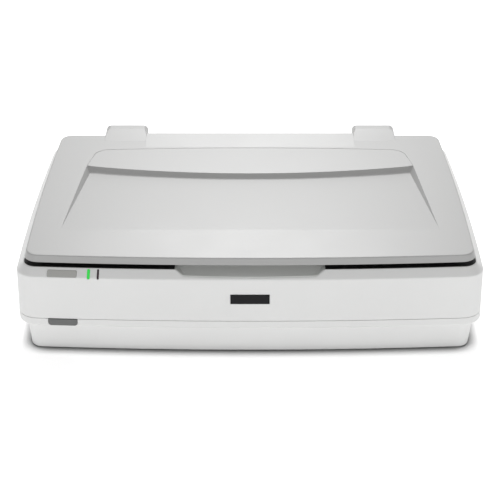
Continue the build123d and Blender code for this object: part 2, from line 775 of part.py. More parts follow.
def power_supply():
    """Power supply board with transformer, capacitors and coil."""
    z = chassis_top + 5
    x0, x1, y0, y1 = inlet_x - 80, inlet_x + 46, y_rear - 169, y_rear - 47
    board = slab(x0, x1, y0, y1, z, z + board_thickness)
    top = z + board_thickness
    for x in (x0 + 5, x1 - 5):
        for y in (y0 + 5, y1 - 5):
            board += rod(x, y, chassis_top, z, 3)
    board += slab(x0 + 30, x0 + 62, y0 + 30, y0 + 58, top, top + 16)
    board += rod(x0 + 82, y0 + 40, top, top + 16, 8)
    board += rod(x0 + 102, y0 + 40, top, top + 16, 8)
    board += slab(x0 + 76, x0 + 106, y0 + 72, y0 + 90, top, top + 13)
    board += slab(x0 + 14, x0 + 20, y0 + 68, y0 + 112, top, top + 15)
    return board


def supply_shield():
    """Perforated steel cover over the power supply."""
    x0, x1, y0, y1 = inlet_x - 86, inlet_x + 52, y_rear - 175, y_rear - 39
    z1 = chassis_top + 26.5
    cover = slab(x0, x1, y0, y1, chassis_top, z1)
    cover -= slab(x0 + 1, x1 - 1, y0 + 1, y1 - 1, 0, z1 - 1)
    for n in range(11):
        cover -= slab(x0 + 16 + 10 * n, x0 + 21 + 10 * n, y0 + 16, y0 + 46, z1 - 5, z1 + 5)
    cover -= slab(inlet_x - 18, inlet_x + 18, y1 - 4, y1 + 4, chassis_top + 4, z1 - 4)
    return cover


def home_sensor():
    """Photo sensor that finds the carriage's home."""
    x = home_x - 40
    block = slab(x - 6, x + 6, -60, -46, chassis_top, 57)
    block -= slab(x - 10, x + 10, -55, -51, 48, 60)
    return block


# ---------------------------------------------------------------- drive
def loop(x0, y0, r0, x1, y1, r1, z0, z1, thickness):
    """Belt round two pulleys: the hull of two circles, with its inside cut away."""
    def band(extra):
        a = rod(x0, y0, z0, z1, r0 + extra)
        b = rod(x1, y1, z0, z1, r1 + extra)
        span = math.hypot(x1 - x0, y1 - y0)
        heading = math.atan2(y1 - y0, x1 - x0)
        lean = math.acos((r0 - r1) / span)
        points = []
        for angle, (cx, cy, r) in ((heading + lean, (x0, y0, r0)), (heading + lean, (x1, y1, r1)),
                                   (heading - lean, (x1, y1, r1)), (heading - lean, (x0, y0, r0))):
            points.append((cx + (r + extra) * math.cos(angle), cy + (r + extra) * math.sin(angle)))
        middle = Pos(0, 0, z0) * extrude(make_face(Polyline(*points, close=True)), z1 - z0)
        return a + b + middle
    return band(thickness) - band(0)


def drive_belt():
    """Long toothed belt that pulls the carriage."""
    reach = pulley_radius + fit_gap
    return loop(idler_x, belt_y, reach, drive_x, belt_y, reach, belt_bottom, belt_bottom + belt_width,
                belt_thickness)


def reduction_belt():
    """Short belt from the motor to the large pulley."""
    return loop(drive_x, belt_y, reducer_radius + fit_gap, drive_x, motor_y, motor_pulley_radius + fit_gap,
                reducer_bottom + 1, reducer_bottom + 7, 1.2)


def toothed(x, y, z0, z1, radius, teeth, flange=1.5, flange_height=1.0):
    """Toothed pulley between two flanges."""
    wheel = rod(x, y, z0, z1, radius)
    groove = min(0.6, radius * 0.06)
    for n in range(teeth):
        angle = 360.0 * n / teeth
        wheel -= Pos(x, y, (z0 + z1) / 2) * Rot(0, 0, angle) * Pos(radius, 0, 0) * Cylinder(
            groove, z1 - z0)
    wheel += rod(x, y, z0 - flange_height, z0, radius + flange)
    wheel += rod(x, y, z1, z1 + flange_height, radius + flange)
    return wheel


def drive_pulley():
    """Stepped pulley: a large toothed wheel and, above it, the small one that drives the carriage belt."""
    large = toothed(drive_x, belt_y, reducer_bottom, reducer_bottom + 8, reducer_radius, 48)
    small = toothed(drive_x, belt_y, belt_bottom - 0.6, belt_bottom + belt_width + 0.6, pulley_radius, 16)
    neck = rod(drive_x, belt_y, reducer_bottom + 8, belt_bottom, pulley_radius - 1)
    return large + small + neck - rod(drive_x, belt_y, 0, 100, axle_radius + running_gap)


def drive_axle():
    """Pin under the stepped pulley, on a foot plate."""
    plate = slab(drive_x - 16, drive_x + 16, belt_y - 16, belt_y + 16, chassis_top, chassis_top + 2)
    step = rod(drive_x, belt_y, chassis_top + 2, reducer_bottom - 1.6, 6)
    return plate + step + rod(drive_x, belt_y, chassis_top, belt_bottom + belt_width + 4, axle_radius)


def idler_pulley():
    """Free pulley at the other end of the carriage belt."""
    wheel = toothed(idler_x, belt_y, belt_bottom - 0.6, belt_bottom + belt_width + 0.6, pulley_radius, 16)
    return wheel - rod(idler_x, belt_y, 0, 100, axle_radius + running_gap)


def idler_bracket():
    """Sliding foot with the idler's pin."""
    foot = slab(idler_x - 12, idler_x + 30, belt_y - 12, belt_y + 12, chassis_top, chassis_top + 3)
    foot -= Pos(idler_x + 20, belt_y, 0) * extrude(SlotOverall(12, 3.6), 30)
    step = rod(idler_x, belt_y, chassis_top + 3, belt_bottom - 2.2, 6)
    hook = slab(idler_x + 28, idler_x + 30, belt_y - 4, belt_y + 4, chassis_top + 3, chassis_top + 13)
    return foot + step + hook + rod(idler_x, belt_y, chassis_top, belt_bottom + belt_width + 4, axle_radius)


def coil(radius, wire, pitch, turns):
    """Open coil spring along Z, from z 0."""
    path = Helix(pitch=pitch, height=pitch * turns, radius=radius)
    section = Plane(origin=path @ 0, z_dir=path % 0) * Circle(wire)
    return sweep(section, path=path)


def tension_spring():
    """Spring that pulls the idler's foot and keeps the belt tight."""
    body = coil(spring_radius, spring_wire, 2.4, 6)
    return Pos(idler_x + 31, belt_y, chassis_top + 9) * Rot(0, 90, 0) * body


def motor_bracket():
    """Bent steel bracket that carries the motor over its pulley."""
    z = reducer_bottom + 9.5
    half = motor_size / 2 + 3
    x0 = drive_x - half
    y0, y1 = motor_y - half, motor_y + motor_size / 2 + 1
    plate = slab(x0, drive_x + motor_size / 2 - 1, y0, y1, z, z + 2)
    plate -= rod(drive_x, motor_y, 0, 100, 11.3)
    leg = slab(x0, x0 + 2, y0, y1, chassis_top, z)
    foot = slab(x0 - 10, x0 + 2, y0, y1, chassis_top, chassis_top + 2)
    return plate + leg + foot


def stepper_motor():
    """Square stepper motor, its boss downwards."""
    z = reducer_bottom + 11.5
    body = Pos(drive_x, motor_y, z) * extrude(Rectangle(motor_size, motor_size), motor_height)
    body = chamfer(body.edges().filter_by(Axis.Z), 4)
    boss = rod(drive_x, motor_y, z - 1.6, z, 11)
    return body + boss - rod(drive_x, motor_y, z - 3, z + 2.4, 3)


def motor_pulley():
    """Small pulley with the motor's shaft."""
    wheel = toothed(drive_x, motor_y, reducer_bottom + 0.4, reducer_bottom + 7.6, motor_pulley_radius, 12,
                    flange=1.2, flange_height=0.8)
    return wheel + rod(drive_x, motor_y, reducer_bottom - 2, reducer_bottom + 13, 2.5)


# ---------------------------------------------------------------- carriage
def carriage_span():
    """Corners of the carriage at home."""
    x0, x1 = home_x - carriage_x / 2, home_x + carriage_x / 2
    y0, y1 = window_shift - carriage_y / 2, window_shift + carriage_y / 2
    return x0, x1, y0, y1


def carriage_housing():
    """Open moulded box with ribs that hold the mirrors."""
    x0, x1, y0, y1 = carriage_span()
    box = slab(x0, x1, y0, y1, carriage_bottom, carriage_top - 3)
    box = fillet(box.edges().filter_by(Axis.Z), 5)
    box -= slab(x0 + carriage_wall, x1 - carriage_wall, y0 + carriage_wall, y1 - carriage_wall,
                carriage_bottom + carriage_wall, carriage_top)
    inner = mirror_length / 2 + fit_gap
    for a in (window_shift - inner - 3, window_shift + inner):
        box += slab(x0 + 1, x1 - 1, a, a + 3, carriage_bottom + 1, carriage_bottom + 44)
    return box


def carriage_cover():
    """Lid of the carriage with the scan slit."""
    x0, x1, y0, y1 = carriage_span()
    plate = slab(x0, x1, y0, y1, carriage_top - 3, carriage_top - 1)
    plate = fillet(plate.edges().filter_by(Axis.Z), 5)
    plate -= slab(home_x - slit_width / 2, home_x + slit_width / 2, y0 + 12, y1 - 12, 0, 200)
    for side in (-1, 1):
        a, b = sorted((home_x + side * (slit_width / 2 + 17), home_x + side * (slit_width / 2 + 19)))
        plate += slab(a, b, y0 + 8, y1 - 8, carriage_top - 1, carriage_top + 1.5)
    for side in (-1, 1):
        a, b = sorted((home_x + side * (slit_width / 2), home_x + side * (slit_width / 2 + 12)))
        for y in (y0 + 3, y1 - 8):
            plate += slab(a, b, y, y + 5, carriage_top - 1, carriage_top + 1.5)
    return plate


def lamp_bars():
    """Two white light bars, one each side of the slit."""
    x0, x1, y0, y1 = carriage_span()
    made = []
    for side in (-1, 1):
        x = home_x + side * (slit_width / 2 + 6)
        made.append(rod_along_y(x, y0 + 8.3, y1 - 8.3, carriage_top - 0.9 + lamp_radius, lamp_radius))
    return Compound(children=made)


def lamp_reflectors():
    """Bright folded strips behind the light bars."""
    x0, x1, y0, y1 = carriage_span()
    made = []
    for side in (-1, 1):
        a, b = sorted((home_x + side * (slit_width / 2 + 9), home_x + side * (slit_width / 2 + 16)))
        strip = slab(a, b, y0 + 8.3, y1 - 8.3, carriage_top - 1, carriage_top - 0.2)
        outer = home_x + side * (slit_width / 2 + 16)
        c, d = sorted((outer, outer - side * 0.8))
        made.append(strip + slab(c, d, y0 + 8.3, y1 - 8.3, carriage_top - 1, carriage_top + 2.4))
    return Compound(children=made)


def folding_mirrors():
    """Three strip mirrors that fold the light path back to the lens."""
    made = []
    for dx, dz, lean in ((0, 10, 45), (-mirror_x, 10, -45), (-mirror_x, 30, 45)):
        strip = Box(mirror_thickness, mirror_length, mirror_width)
        made.append(Pos(home_x + dx, window_shift, carriage_bottom + dz) * Rot(0, lean, 0) * strip)
    return Compound(children=made)


def lens_barrel():
    """Stepped lens in its clamp block."""
    z = carriage_bottom + 30
    x0, x1 = home_x + 8, home_x + sensor_x - 10
    base = carriage_bottom + carriage_wall
    barrel = rod_along_x(x0 + 4, x1, window_shift, z, 12)
    barrel += rod_along_x(x0, x0 + 5, window_shift, z, 9)
    barrel += slab(x0 + 6, x1 - 4, window_shift - 16, window_shift + 16, z - 12, z)
    barrel += slab(x0 + 6, x1 - 4, window_shift - 22, window_shift + 22, base, base + 3)
    barrel += slab(x0 + 8, x1 - 6, window_shift - 14, window_shift + 14, base, z - 8)
    return barrel - rod_along_x(x0 - 1, x0 + 4, window_shift, z, 6)


def sensor_board():
    """Image sensor board behind the lens."""
    x = home_x + sensor_x
    board = slab(x, x + board_thickness, window_shift - 50, window_shift + 50, carriage_bottom + carriage_wall,
                 carriage_bottom + 44)
    board += slab(x - 4, x, window_shift - 30, window_shift + 30, carriage_bottom + 25, carriage_bottom + 35)
    return board


def shaft_bushes():
    """Two bronze bushes on the guide shaft."""
    made = []
    for dx in (-25, 11):
        x = home_x + dx
        ring = rod_along_x(x, x + bush_length, shaft_y, shaft_z, shaft_radius + bush_wall)
        made.append(ring - rod_along_x(x - 1, x + bush_length + 1, shaft_y, shaft_z, shaft_radius + running_gap))
    return Compound(children=made)


def bush_saddles():
    """Moulded saddles that hang the bushes under the carriage."""
    made = []
    for dx in (-25, 11):
        x = home_x + dx
        block = slab(x, x + bush_length, shaft_y - 12, shaft_y + 12, shaft_z - 2, carriage_bottom)
        made.append(block - rod_along_x(x - 1, x + bush_length + 1, shaft_y, shaft_z, shaft_radius + bush_wall))
    return Compound(children=made)


def slider_pad():
    """Low-friction foot on the front rail."""
    return slab(home_x - 14, home_x + 14, rail_y - 5, rail_y + 5, rail_top + 0.1, carriage_bottom)


def belt_clamp():
    """Clip under the carriage that grips the front run of the belt."""
    y = belt_y - pulley_radius - fit_gap - belt_thickness / 2
    block = slab(home_x - 10, home_x + 10, y - 5, y + 4.5, belt_bottom - 3, carriage_bottom)
    gap = belt_thickness / 2 + 0.15
    return block - slab(home_x - 11, home_x + 11, y - gap, y + gap, belt_bottom - 0.2,
                        belt_bottom + belt_width + 0.2)


def ribbon_cable():
    """Flat cable from the chassis, round one open loop, to the carriage."""
    z0 = chassis_top + 0.3
    x_fixed, x_turn, x_end = 0.0, home_x + 6, home_x + 30
    thickness, ribbon_width, y = 0.6, 24.0, 20.0
    rise = carriage_bottom - 0.3 - thickness - z0
    mid = thickness / 2
    low, high = z0 + mid, z0 + mid + rise
    path = Line((x_fixed, 0, low), (x_turn, 0, low))
    path += ThreePointArc((x_turn, 0, low), (x_turn - rise / 2, 0, (low + high) / 2), (x_turn, 0, high))
    path += Line((x_turn, 0, high), (x_end, 0, high))
    start = Plane(origin=(x_fixed, 0, low), z_dir=(-1, 0, 0), x_dir=(0, 1, 0))
    return Pos(0, y, 0) * sweep(start * Rectangle(ribbon_width, thickness), path=path)


# ---------------------------------------------------------------- cover
def cover_top(y):
    """Height of the cover's plain top at a depth y."""
    front, rear = y_front + cover_inset, cover_rear_y
    share = (y - front) / (rear - front)
    return cover_z + cover_front_height + (cover_rear_height - cover_front_height) * share


def side_prism(points, half):
    """Solid with a (y, z) side profile, reaching half each way along X."""
    face = Plane.YZ * make_face(Polyline(*points, close=True))
    return extrude(face, half, both=True)


def cover_body(inset, sink, z0):
    """Solid cover to its plain top, lowered by sink, drawn in by inset."""
    base = outline(cover_inset + inset, z0, rear=cover_rear_y - inset, front_corner=cover_front_radius - inset,
                   rear_corner=cover_rear_radius - inset)
    block = extrude(base, 24, taper=cover_draft)
    y0, y1 = y_front - 20, y_rear + 20
    under = side_prism([(y0, z0 - 1), (y1, z0 - 1), (y1, cover_top(y1) - sink), (y0, cover_top(y0) - sink)],
                       width)
    return block & under


def recess_plan(grow, z):
    """Plan of the wedge recess: straight sides that close in, and an arc across the back."""
    y0 = y_front + recess_front - 10
    y1 = y0 + 10 + recess_length
    spread = (recess_front_x - recess_rear_x) / recess_length
    front_x = recess_front_x + 10 * spread + grow
    rear_x = recess_rear_x + grow
    edge = ThreePointArc((-rear_x, y1 + grow), (0, y1 - recess_arc + grow), (rear_x, y1 + grow))
    edge += Polyline((rear_x, y1 + grow), (front_x, y0), (-front_x, y0), (-rear_x, y1 + grow))
    return Pos(0, 0, z) * make_face(edge)


def recess_wedge(grow, sink):
    """Wedge taken out of the top: nothing at the front, its full depth at the back, leaning walls."""
    y0 = y_front + recess_front
    y1 = y0 + recess_length + 20
    drop = recess_depth * (y1 - y0) / recess_length
    wedge = side_prism([(y0, cover_top(y0) - sink), (y1, cover_top(y1) - drop - sink), (y1, rim_z + 60),
                        (y0, rim_z + 60)], width)
    crest = cover_top(y0 + recess_length) - sink
    walls = extrude(recess_plan(grow, crest), -recess_depth - 2, taper=recess_lean)
    tool = wedge & (walls + extrude(recess_plan(grow, crest), 30))
    floor_edge = tool.edges().filter_by(lambda e: e.length > recess_rear_x and e.center().Y > y0 + recess_length / 2)
    return fillet(floor_edge.sort_by(Axis.Z)[0], recess_fillet)


def plateau_groove():
    """Fine line in the top, from the recess's rear corners round the level area behind it."""
    y1 = y_rear - recess_rear
    side = recess_rear_x - plateau_close
    rear = y1 + plateau_length - plateau_bow
    edge = ThreePointArc((-side, rear), (0, rear + plateau_bow), (side, rear))
    edge += Polyline((side, rear), (recess_rear_x, y1), (0, y1 - recess_arc * 2), (-recess_rear_x, y1),
                     (-side, rear))
    face = make_face(edge)
    face = fillet(face.vertices().sort_by(Axis.Y)[-2:], plateau_corner)
    ring = face - offset(face, -plateau_groove_width)
    band = extrude(Pos(0, 0, cover_z) * ring, 40)
    y0 = y1 - 1
    above = side_prism([(y0, cover_top(y0) - plateau_groove_depth),
                        (y_rear, cover_top(y_rear) - plateau_groove_depth),
                        (y_rear, rim_z + 60), (y0, rim_z + 60)], width)
    return band & above


def hinge_hood(x, shrink, z0):
    """Block of one hinge cover, drawn in by shrink: it climbs to a level end at the back."""
    top = rim_z + hinge_cover_top - shrink
    half = hinge_cover_width / 2 - shrink
    y0 = y_rear - hinge_cover_length
    front_view = make_face(Polyline((x - half, z0), (x + half, z0), (x + half - hinge_cover_draft, top),
                                    (x - half + hinge_cover_draft, top), close=True))
    front_view = fillet(front_view.vertices().group_by(Axis.Y)[-1], hinge_cover_round - shrink)
    hood = extrude(Plane.XZ.offset(-y_rear + shrink) * front_view, hinge_cover_length)
    if not shrink:
        rear = hood.faces().sort_by(Axis.Y)[-1].edges()
        hood = fillet(rear.filter_by(lambda e: e.center().Z > z0 + 1), hinge_cover_edge)
    rear_z = z0 if shrink else pivot_z + 1
    flat = y_rear - hinge_cover_flat
    slope = side_prism([(y0, cover_top(y0) - 1 - shrink), (flat, top), (y_rear, top), (y_rear, rear_z),
                        (pivot_y + 8, rear_z), (cover_rear_y, z0), (y0, z0)], width)
    return hood & slope


def cover_shell():
    """Grey top shell of the cover."""
    shell = cover_body(0, 0, cover_z)
    rim = shell.faces().sort_by(Axis.Z)[-1].edges()
    shell = fillet(rim, cover_edge_round)
    half = hinge_x - hinge_cover_width / 2 + 3
    y0 = y_rear - hinge_cover_length - 18
    hump = side_prism([(y0, cover_top(y0) - 3), (cover_rear_y - 2, cover_top(cover_rear_y) - 3),
                       (cover_rear_y - 2, cover_top(cover_rear_y) + hump_height), (y0, cover_top(y0))], half)
    shell += hump
    for x in hinge_sides:
        shell += hinge_hood(x, 0, pivot_z - 4)
    shell -= recess_wedge(0, 0)
    shell -= plateau_groove()
    shell -= cover_body(cover_wall, cover_wall, cover_z) - recess_wedge(recess_skin, recess_skin)
    for x in hinge_sides:
        shell -= hinge_hood(x, hinge_cover_skin, cover_z - 1)
    return shell


def bracket_reach():
    """How far each hinge bracket's ears stand from the middle of the hinge."""
    return post_width / 2 + ear_gap, post_width / 2 + ear_gap + ear_thickness


def cover_panel():
    """Inner panel that closes the cover from below."""
    inset = cover_inset + cover_wall + panel_gap
    plate = extrude(outline(inset, panel_z, rear=cover_rear_y - cover_wall - panel_gap,
                            front_corner=panel_corner, rear_corner=panel_corner), panel_thickness)
    for x in hinge_sides:
        plate -= slab(x - hinge_cover_width / 2, x + hinge_cover_width / 2, pivot_y - 13, y_rear, 0, 300)
    for x, y in cover_screw_places():
        plate -= rod(x, y, 0, 300, 1.8)
        plate -= rod(x, y, 0, panel_z + 1.0, 3.6)
    for x in (-recess_front_x, -90, 90, recess_front_x):
        plate += slab(x - 1, x + 1, y_front + 40, y_front + recess_front - 12, panel_z + 1, panel_z + 5)
    return plate


def cover_screw_places():
    """Screws round the edge of the inner panel."""
    reach = half_width(cover_rear_y) - 40
    return [(x, y) for x in (-reach, reach) for y in (y_front + 34, window_shift, cover_rear_y - 24)]


def cover_screws():
    """Countersunk screws of the inner panel."""
    return Compound(children=[screw(x, y, panel_z + 1.0, 5.0, shank=1.5, head=3.2, head_height=0.9)
                              for x, y in cover_screw_places()])


def document_mat():
    """White foam-backed mat that presses the page on the glass."""
    y = window_shift
    mat = slab(-mat_x / 2, mat_x / 2, y - mat_y / 2, y + mat_y / 2, mat_bottom, panel_z)
    return fillet(mat.edges().filter_by(Axis.Z), 6)


def hinge_brackets():
    """Steel brackets in the cover, each with two ears on the pivot pin."""
    made = []
    inner, outer = bracket_reach()
    z0 = panel_z + panel_thickness
    for x in hinge_sides:
        bracket = slab(x - outer, x + outer, pivot_y - 44, pivot_y - 15, z0, z0 + 2)
        for side in (-1, 1):
            a, b = sorted((x + side * inner, x + side * outer))
            ear = slab(a, b, pivot_y - 44, pivot_y, z0, z0 + 6)
            ear += rod_along_x(a, b, pivot_y, pivot_z, knuckle_radius - 0.9)
            ear += slab(a, b, pivot_y - 20, pivot_y, z0, pivot_z + 1)
            bracket += ear
        made.append(bracket - rod_along_x(x - outer - 1, x + outer + 1, pivot_y, pivot_z, pin_radius))
    return Compound(children=made)


def hinge_pins():
    """Pivot pins, held in the bracket ears."""
    outer = bracket_reach()[1] + 2
    return Compound(children=[rod_along_x(x - outer, x + outer, pivot_y, pivot_z, pin_radius)
                              for x in hinge_sides])


def hinge_post(x):
    """Upright post with the pivot knuckle on top, free to lift out of its socket."""
    bottom = rim_z - post_depth
    post = slab(x - post_width / 2, x + post_width / 2, pivot_y - post_thickness / 2,
                pivot_y + post_thickness / 2, bottom, rim_z + 0.5)
    post = chamfer(post.edges().group_by(Axis.Z)[0], 1.5)
    groove = post_width / 10
    for dx in (-3 * groove, 0, 3 * groove):
        post -= slab(x + dx - groove, x + dx + groove, pivot_y + 2, pivot_y + post_thickness, bottom + 6,
                     rim_z - 8)
    post += slab(x - post_width / 2, x + post_width / 2, pivot_y - neck_half, pivot_y + neck_half, rim_z,
                 pivot_z)
    post += rod_along_x(x - post_width / 2, x + post_width / 2, pivot_y, pivot_z, knuckle_radius)
    for side in (-1, 1):
        a, b = x + side * notch_x - notch_half, x + side * notch_x + notch_half
        post -= slab(a, b, pivot_y - 10, pivot_y + 10, pivot_z - 8, pivot_z + 10)
    return post - rod_along_x(x - post_width, x + post_width, pivot_y, pivot_z, pin_radius + running_gap)


def hinge_posts():
    """The two posts."""
    return Compound(children=[hinge_post(x) for x in hinge_sides])


def hinge_springs():
    """Torsion springs round the pivot pins, in the notches of the posts."""
    made = []
    for x in hinge_sides:
        for centre in (x - notch_x, x + notch_x):
            body = coil(pin_radius + 1.1, spring_wire, 1.6, 4)
            made.append(Pos(centre - 3.2, pivot_y, pivot_z) * Rot(0, 90, 0) * body)
    return Compound(children=made)


def socket_block(x, gap):
    """Outer block of one hinge socket."""
    half_x = post_width / 2 + fit_gap + socket_wall + gap
    half_y = post_thickness / 2 + fit_gap + socket_wall + gap
    return slab(x - half_x, x + half_x, pivot_y - half_y, pivot_y + half_y,
                rim_z - post_depth - fit_gap - 3, rim_z + (5 if gap else 0))


def hinge_socket(x):
    """Deep rectangular socket that the post drops into."""
    half_x = post_width / 2 + fit_gap
    half_y = post_thickness / 2 + fit_gap
    return socket_block(x, 0) - slab(x - half_x, x + half_x, pivot_y - half_y, pivot_y + half_y,
                                     rim_z - post_depth - fit_gap, rim_z + 5)


def hinge_sockets():
    """The two sockets, set into the case."""
    return Compound(children=[hinge_socket(x) for x in hinge_sides])


# ---------------------------------------------------------------- write the parts
def all_parts():
    """Every sub-part by its node name."""
    parts = {
        "lower_case": lower_case, "upper_case": upper_case, "table_frame": table_frame,
        "document_glass": document_glass, "grip_scoop": grip_scoop, "calibration_strip": calibration_strip,
        "rubber_feet": rubber_feet, "case_screws": case_screws, "badge_plate": badge_plate,
        "start_button": start_button, "ready_light": ready_light, "error_light": error_light,
        "panel_board": panel_board, "power_button": power_button, "power_switch": power_switch,
        "port_plate": port_plate, "usb_port": usb_port, "option_port": option_port,
        "power_inlet": power_inlet, "transport_lock": transport_lock, "base_chassis": base_chassis,
        "chassis_screws": chassis_screws, "guide_shaft": guide_shaft, "shaft_holders": shaft_holders,
        "slide_rail": slide_rail, "main_board": main_board, "power_supply": power_supply,
        "supply_shield": supply_shield, "home_sensor": home_sensor,
        "drive_belt": drive_belt, "reduction_belt": reduction_belt, "drive_pulley": drive_pulley,
        "drive_axle": drive_axle, "idler_pulley": idler_pulley, "idler_bracket": idler_bracket,
        "tension_spring": tension_spring, "motor_bracket": motor_bracket, "stepper_motor": stepper_motor,
        "motor_pulley": motor_pulley, "carriage_housing": carriage_housing, "carriage_cover": carriage_cover,
        "lamp_bars": lamp_bars, "lamp_reflectors": lamp_reflectors, "folding_mirrors": folding_mirrors,
        "lens_barrel": lens_barrel, "sensor_board": sensor_board,
        "shaft_bushes": shaft_bushes, "bush_saddles": bush_saddles, "slider_pad": slider_pad,
        "belt_clamp": belt_clamp, "ribbon_cable": ribbon_cable, "cover_shell": cover_shell,
        "cover_panel": cover_panel, "cover_screws": cover_screws, "document_mat": document_mat,
        "hinge_brackets": hinge_brackets, "hinge_pins": hinge_pins, "hinge_springs": hinge_springs,
        "hinge_posts": hinge_posts, "hinge_sockets": hinge_sockets,
    }
    return parts


if __name__ == "__main__":
    os.makedirs("parts", exist_ok=True)
    for name, make in all_parts().items():
        export_step(make(), f"parts/{name}.step")
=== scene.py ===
"""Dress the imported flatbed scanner: finishes for every frame part, finer stand-ins for the soft and
toothed parts, a plain studio, and the camera."""

import json
import logging
import math
from dataclasses import dataclass, field
from enum import Enum
from typing import Any, Callable, Sequence

import bmesh
import bpy
from mathutils import Matrix, Vector

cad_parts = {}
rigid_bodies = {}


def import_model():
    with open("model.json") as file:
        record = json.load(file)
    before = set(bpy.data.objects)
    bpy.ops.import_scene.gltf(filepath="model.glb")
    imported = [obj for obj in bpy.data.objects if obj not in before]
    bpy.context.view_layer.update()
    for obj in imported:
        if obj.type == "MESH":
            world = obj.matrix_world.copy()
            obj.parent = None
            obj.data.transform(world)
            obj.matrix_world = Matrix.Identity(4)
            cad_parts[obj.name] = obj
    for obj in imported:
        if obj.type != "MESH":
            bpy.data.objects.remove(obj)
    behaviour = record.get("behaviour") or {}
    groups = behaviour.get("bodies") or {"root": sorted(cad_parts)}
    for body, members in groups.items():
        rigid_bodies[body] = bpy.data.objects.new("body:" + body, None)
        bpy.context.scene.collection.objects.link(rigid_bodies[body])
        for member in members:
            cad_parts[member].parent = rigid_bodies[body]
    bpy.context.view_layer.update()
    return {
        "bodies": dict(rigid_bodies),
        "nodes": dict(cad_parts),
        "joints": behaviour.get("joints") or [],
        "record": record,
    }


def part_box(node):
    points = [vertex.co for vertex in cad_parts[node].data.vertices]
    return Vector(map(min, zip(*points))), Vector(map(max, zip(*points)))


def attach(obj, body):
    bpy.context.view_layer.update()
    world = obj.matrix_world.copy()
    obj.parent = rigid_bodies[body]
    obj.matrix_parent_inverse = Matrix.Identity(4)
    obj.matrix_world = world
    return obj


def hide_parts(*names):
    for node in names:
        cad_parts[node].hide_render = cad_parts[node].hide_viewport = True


log = logging.getLogger("scanner")

MM = 0.001
Colour = tuple[float, float, float]


# ------------------------------------------------------------------ shader bench
class Wire:
    """An output socket that can be used in arithmetic."""

    def __init__(self, bench: "Bench", socket: bpy.types.NodeSocket) -> None:
        """Keep the socket and the bench that made it."""
        self.bench = bench
        self.socket = socket

    def __add__(self, other: "Wire | float") -> "Wire":
        """Sum."""
        return self.bench.sum_of("ADD", self, other)

    def __radd__(self, other: float) -> "Wire":
        """Sum, number first."""
        return self.bench.sum_of("ADD", other, self)

    def __sub__(self, other: "Wire | float") -> "Wire":
        """Difference."""
        return self.bench.sum_of("SUBTRACT", self, other)

    def __rsub__(self, other: float) -> "Wire":
        """Difference, number first."""
        return self.bench.sum_of("SUBTRACT", other, self)

    def __mul__(self, other: "Wire | float") -> "Wire":
        """Product."""
        return self.bench.sum_of("MULTIPLY", self, other)

    def __rmul__(self, other: float) -> "Wire":
        """Product, number first."""
        return self.bench.sum_of("MULTIPLY", other, self)

    def __truediv__(self, other: "Wire | float") -> "Wire":
        """Quotient."""
        return self.bench.sum_of("DIVIDE", self, other)

    def __pow__(self, other: "Wire | float") -> "Wire":
        """Power."""
        return self.bench.sum_of("POWER", self, other)

    def at_most(self, other: "Wire | float") -> "Wire":
        """The smaller of the two."""
        return self.bench.sum_of("MINIMUM", self, other)

    def at_least(self, other: "Wire | float") -> "Wire":
        """The larger of the two."""
        return self.bench.sum_of("MAXIMUM", self, other)

    def above(self, level: float) -> "Wire":
        """One where the value is over a level, else zero."""
        return self.bench.sum_of("GREATER_THAN", self, level)


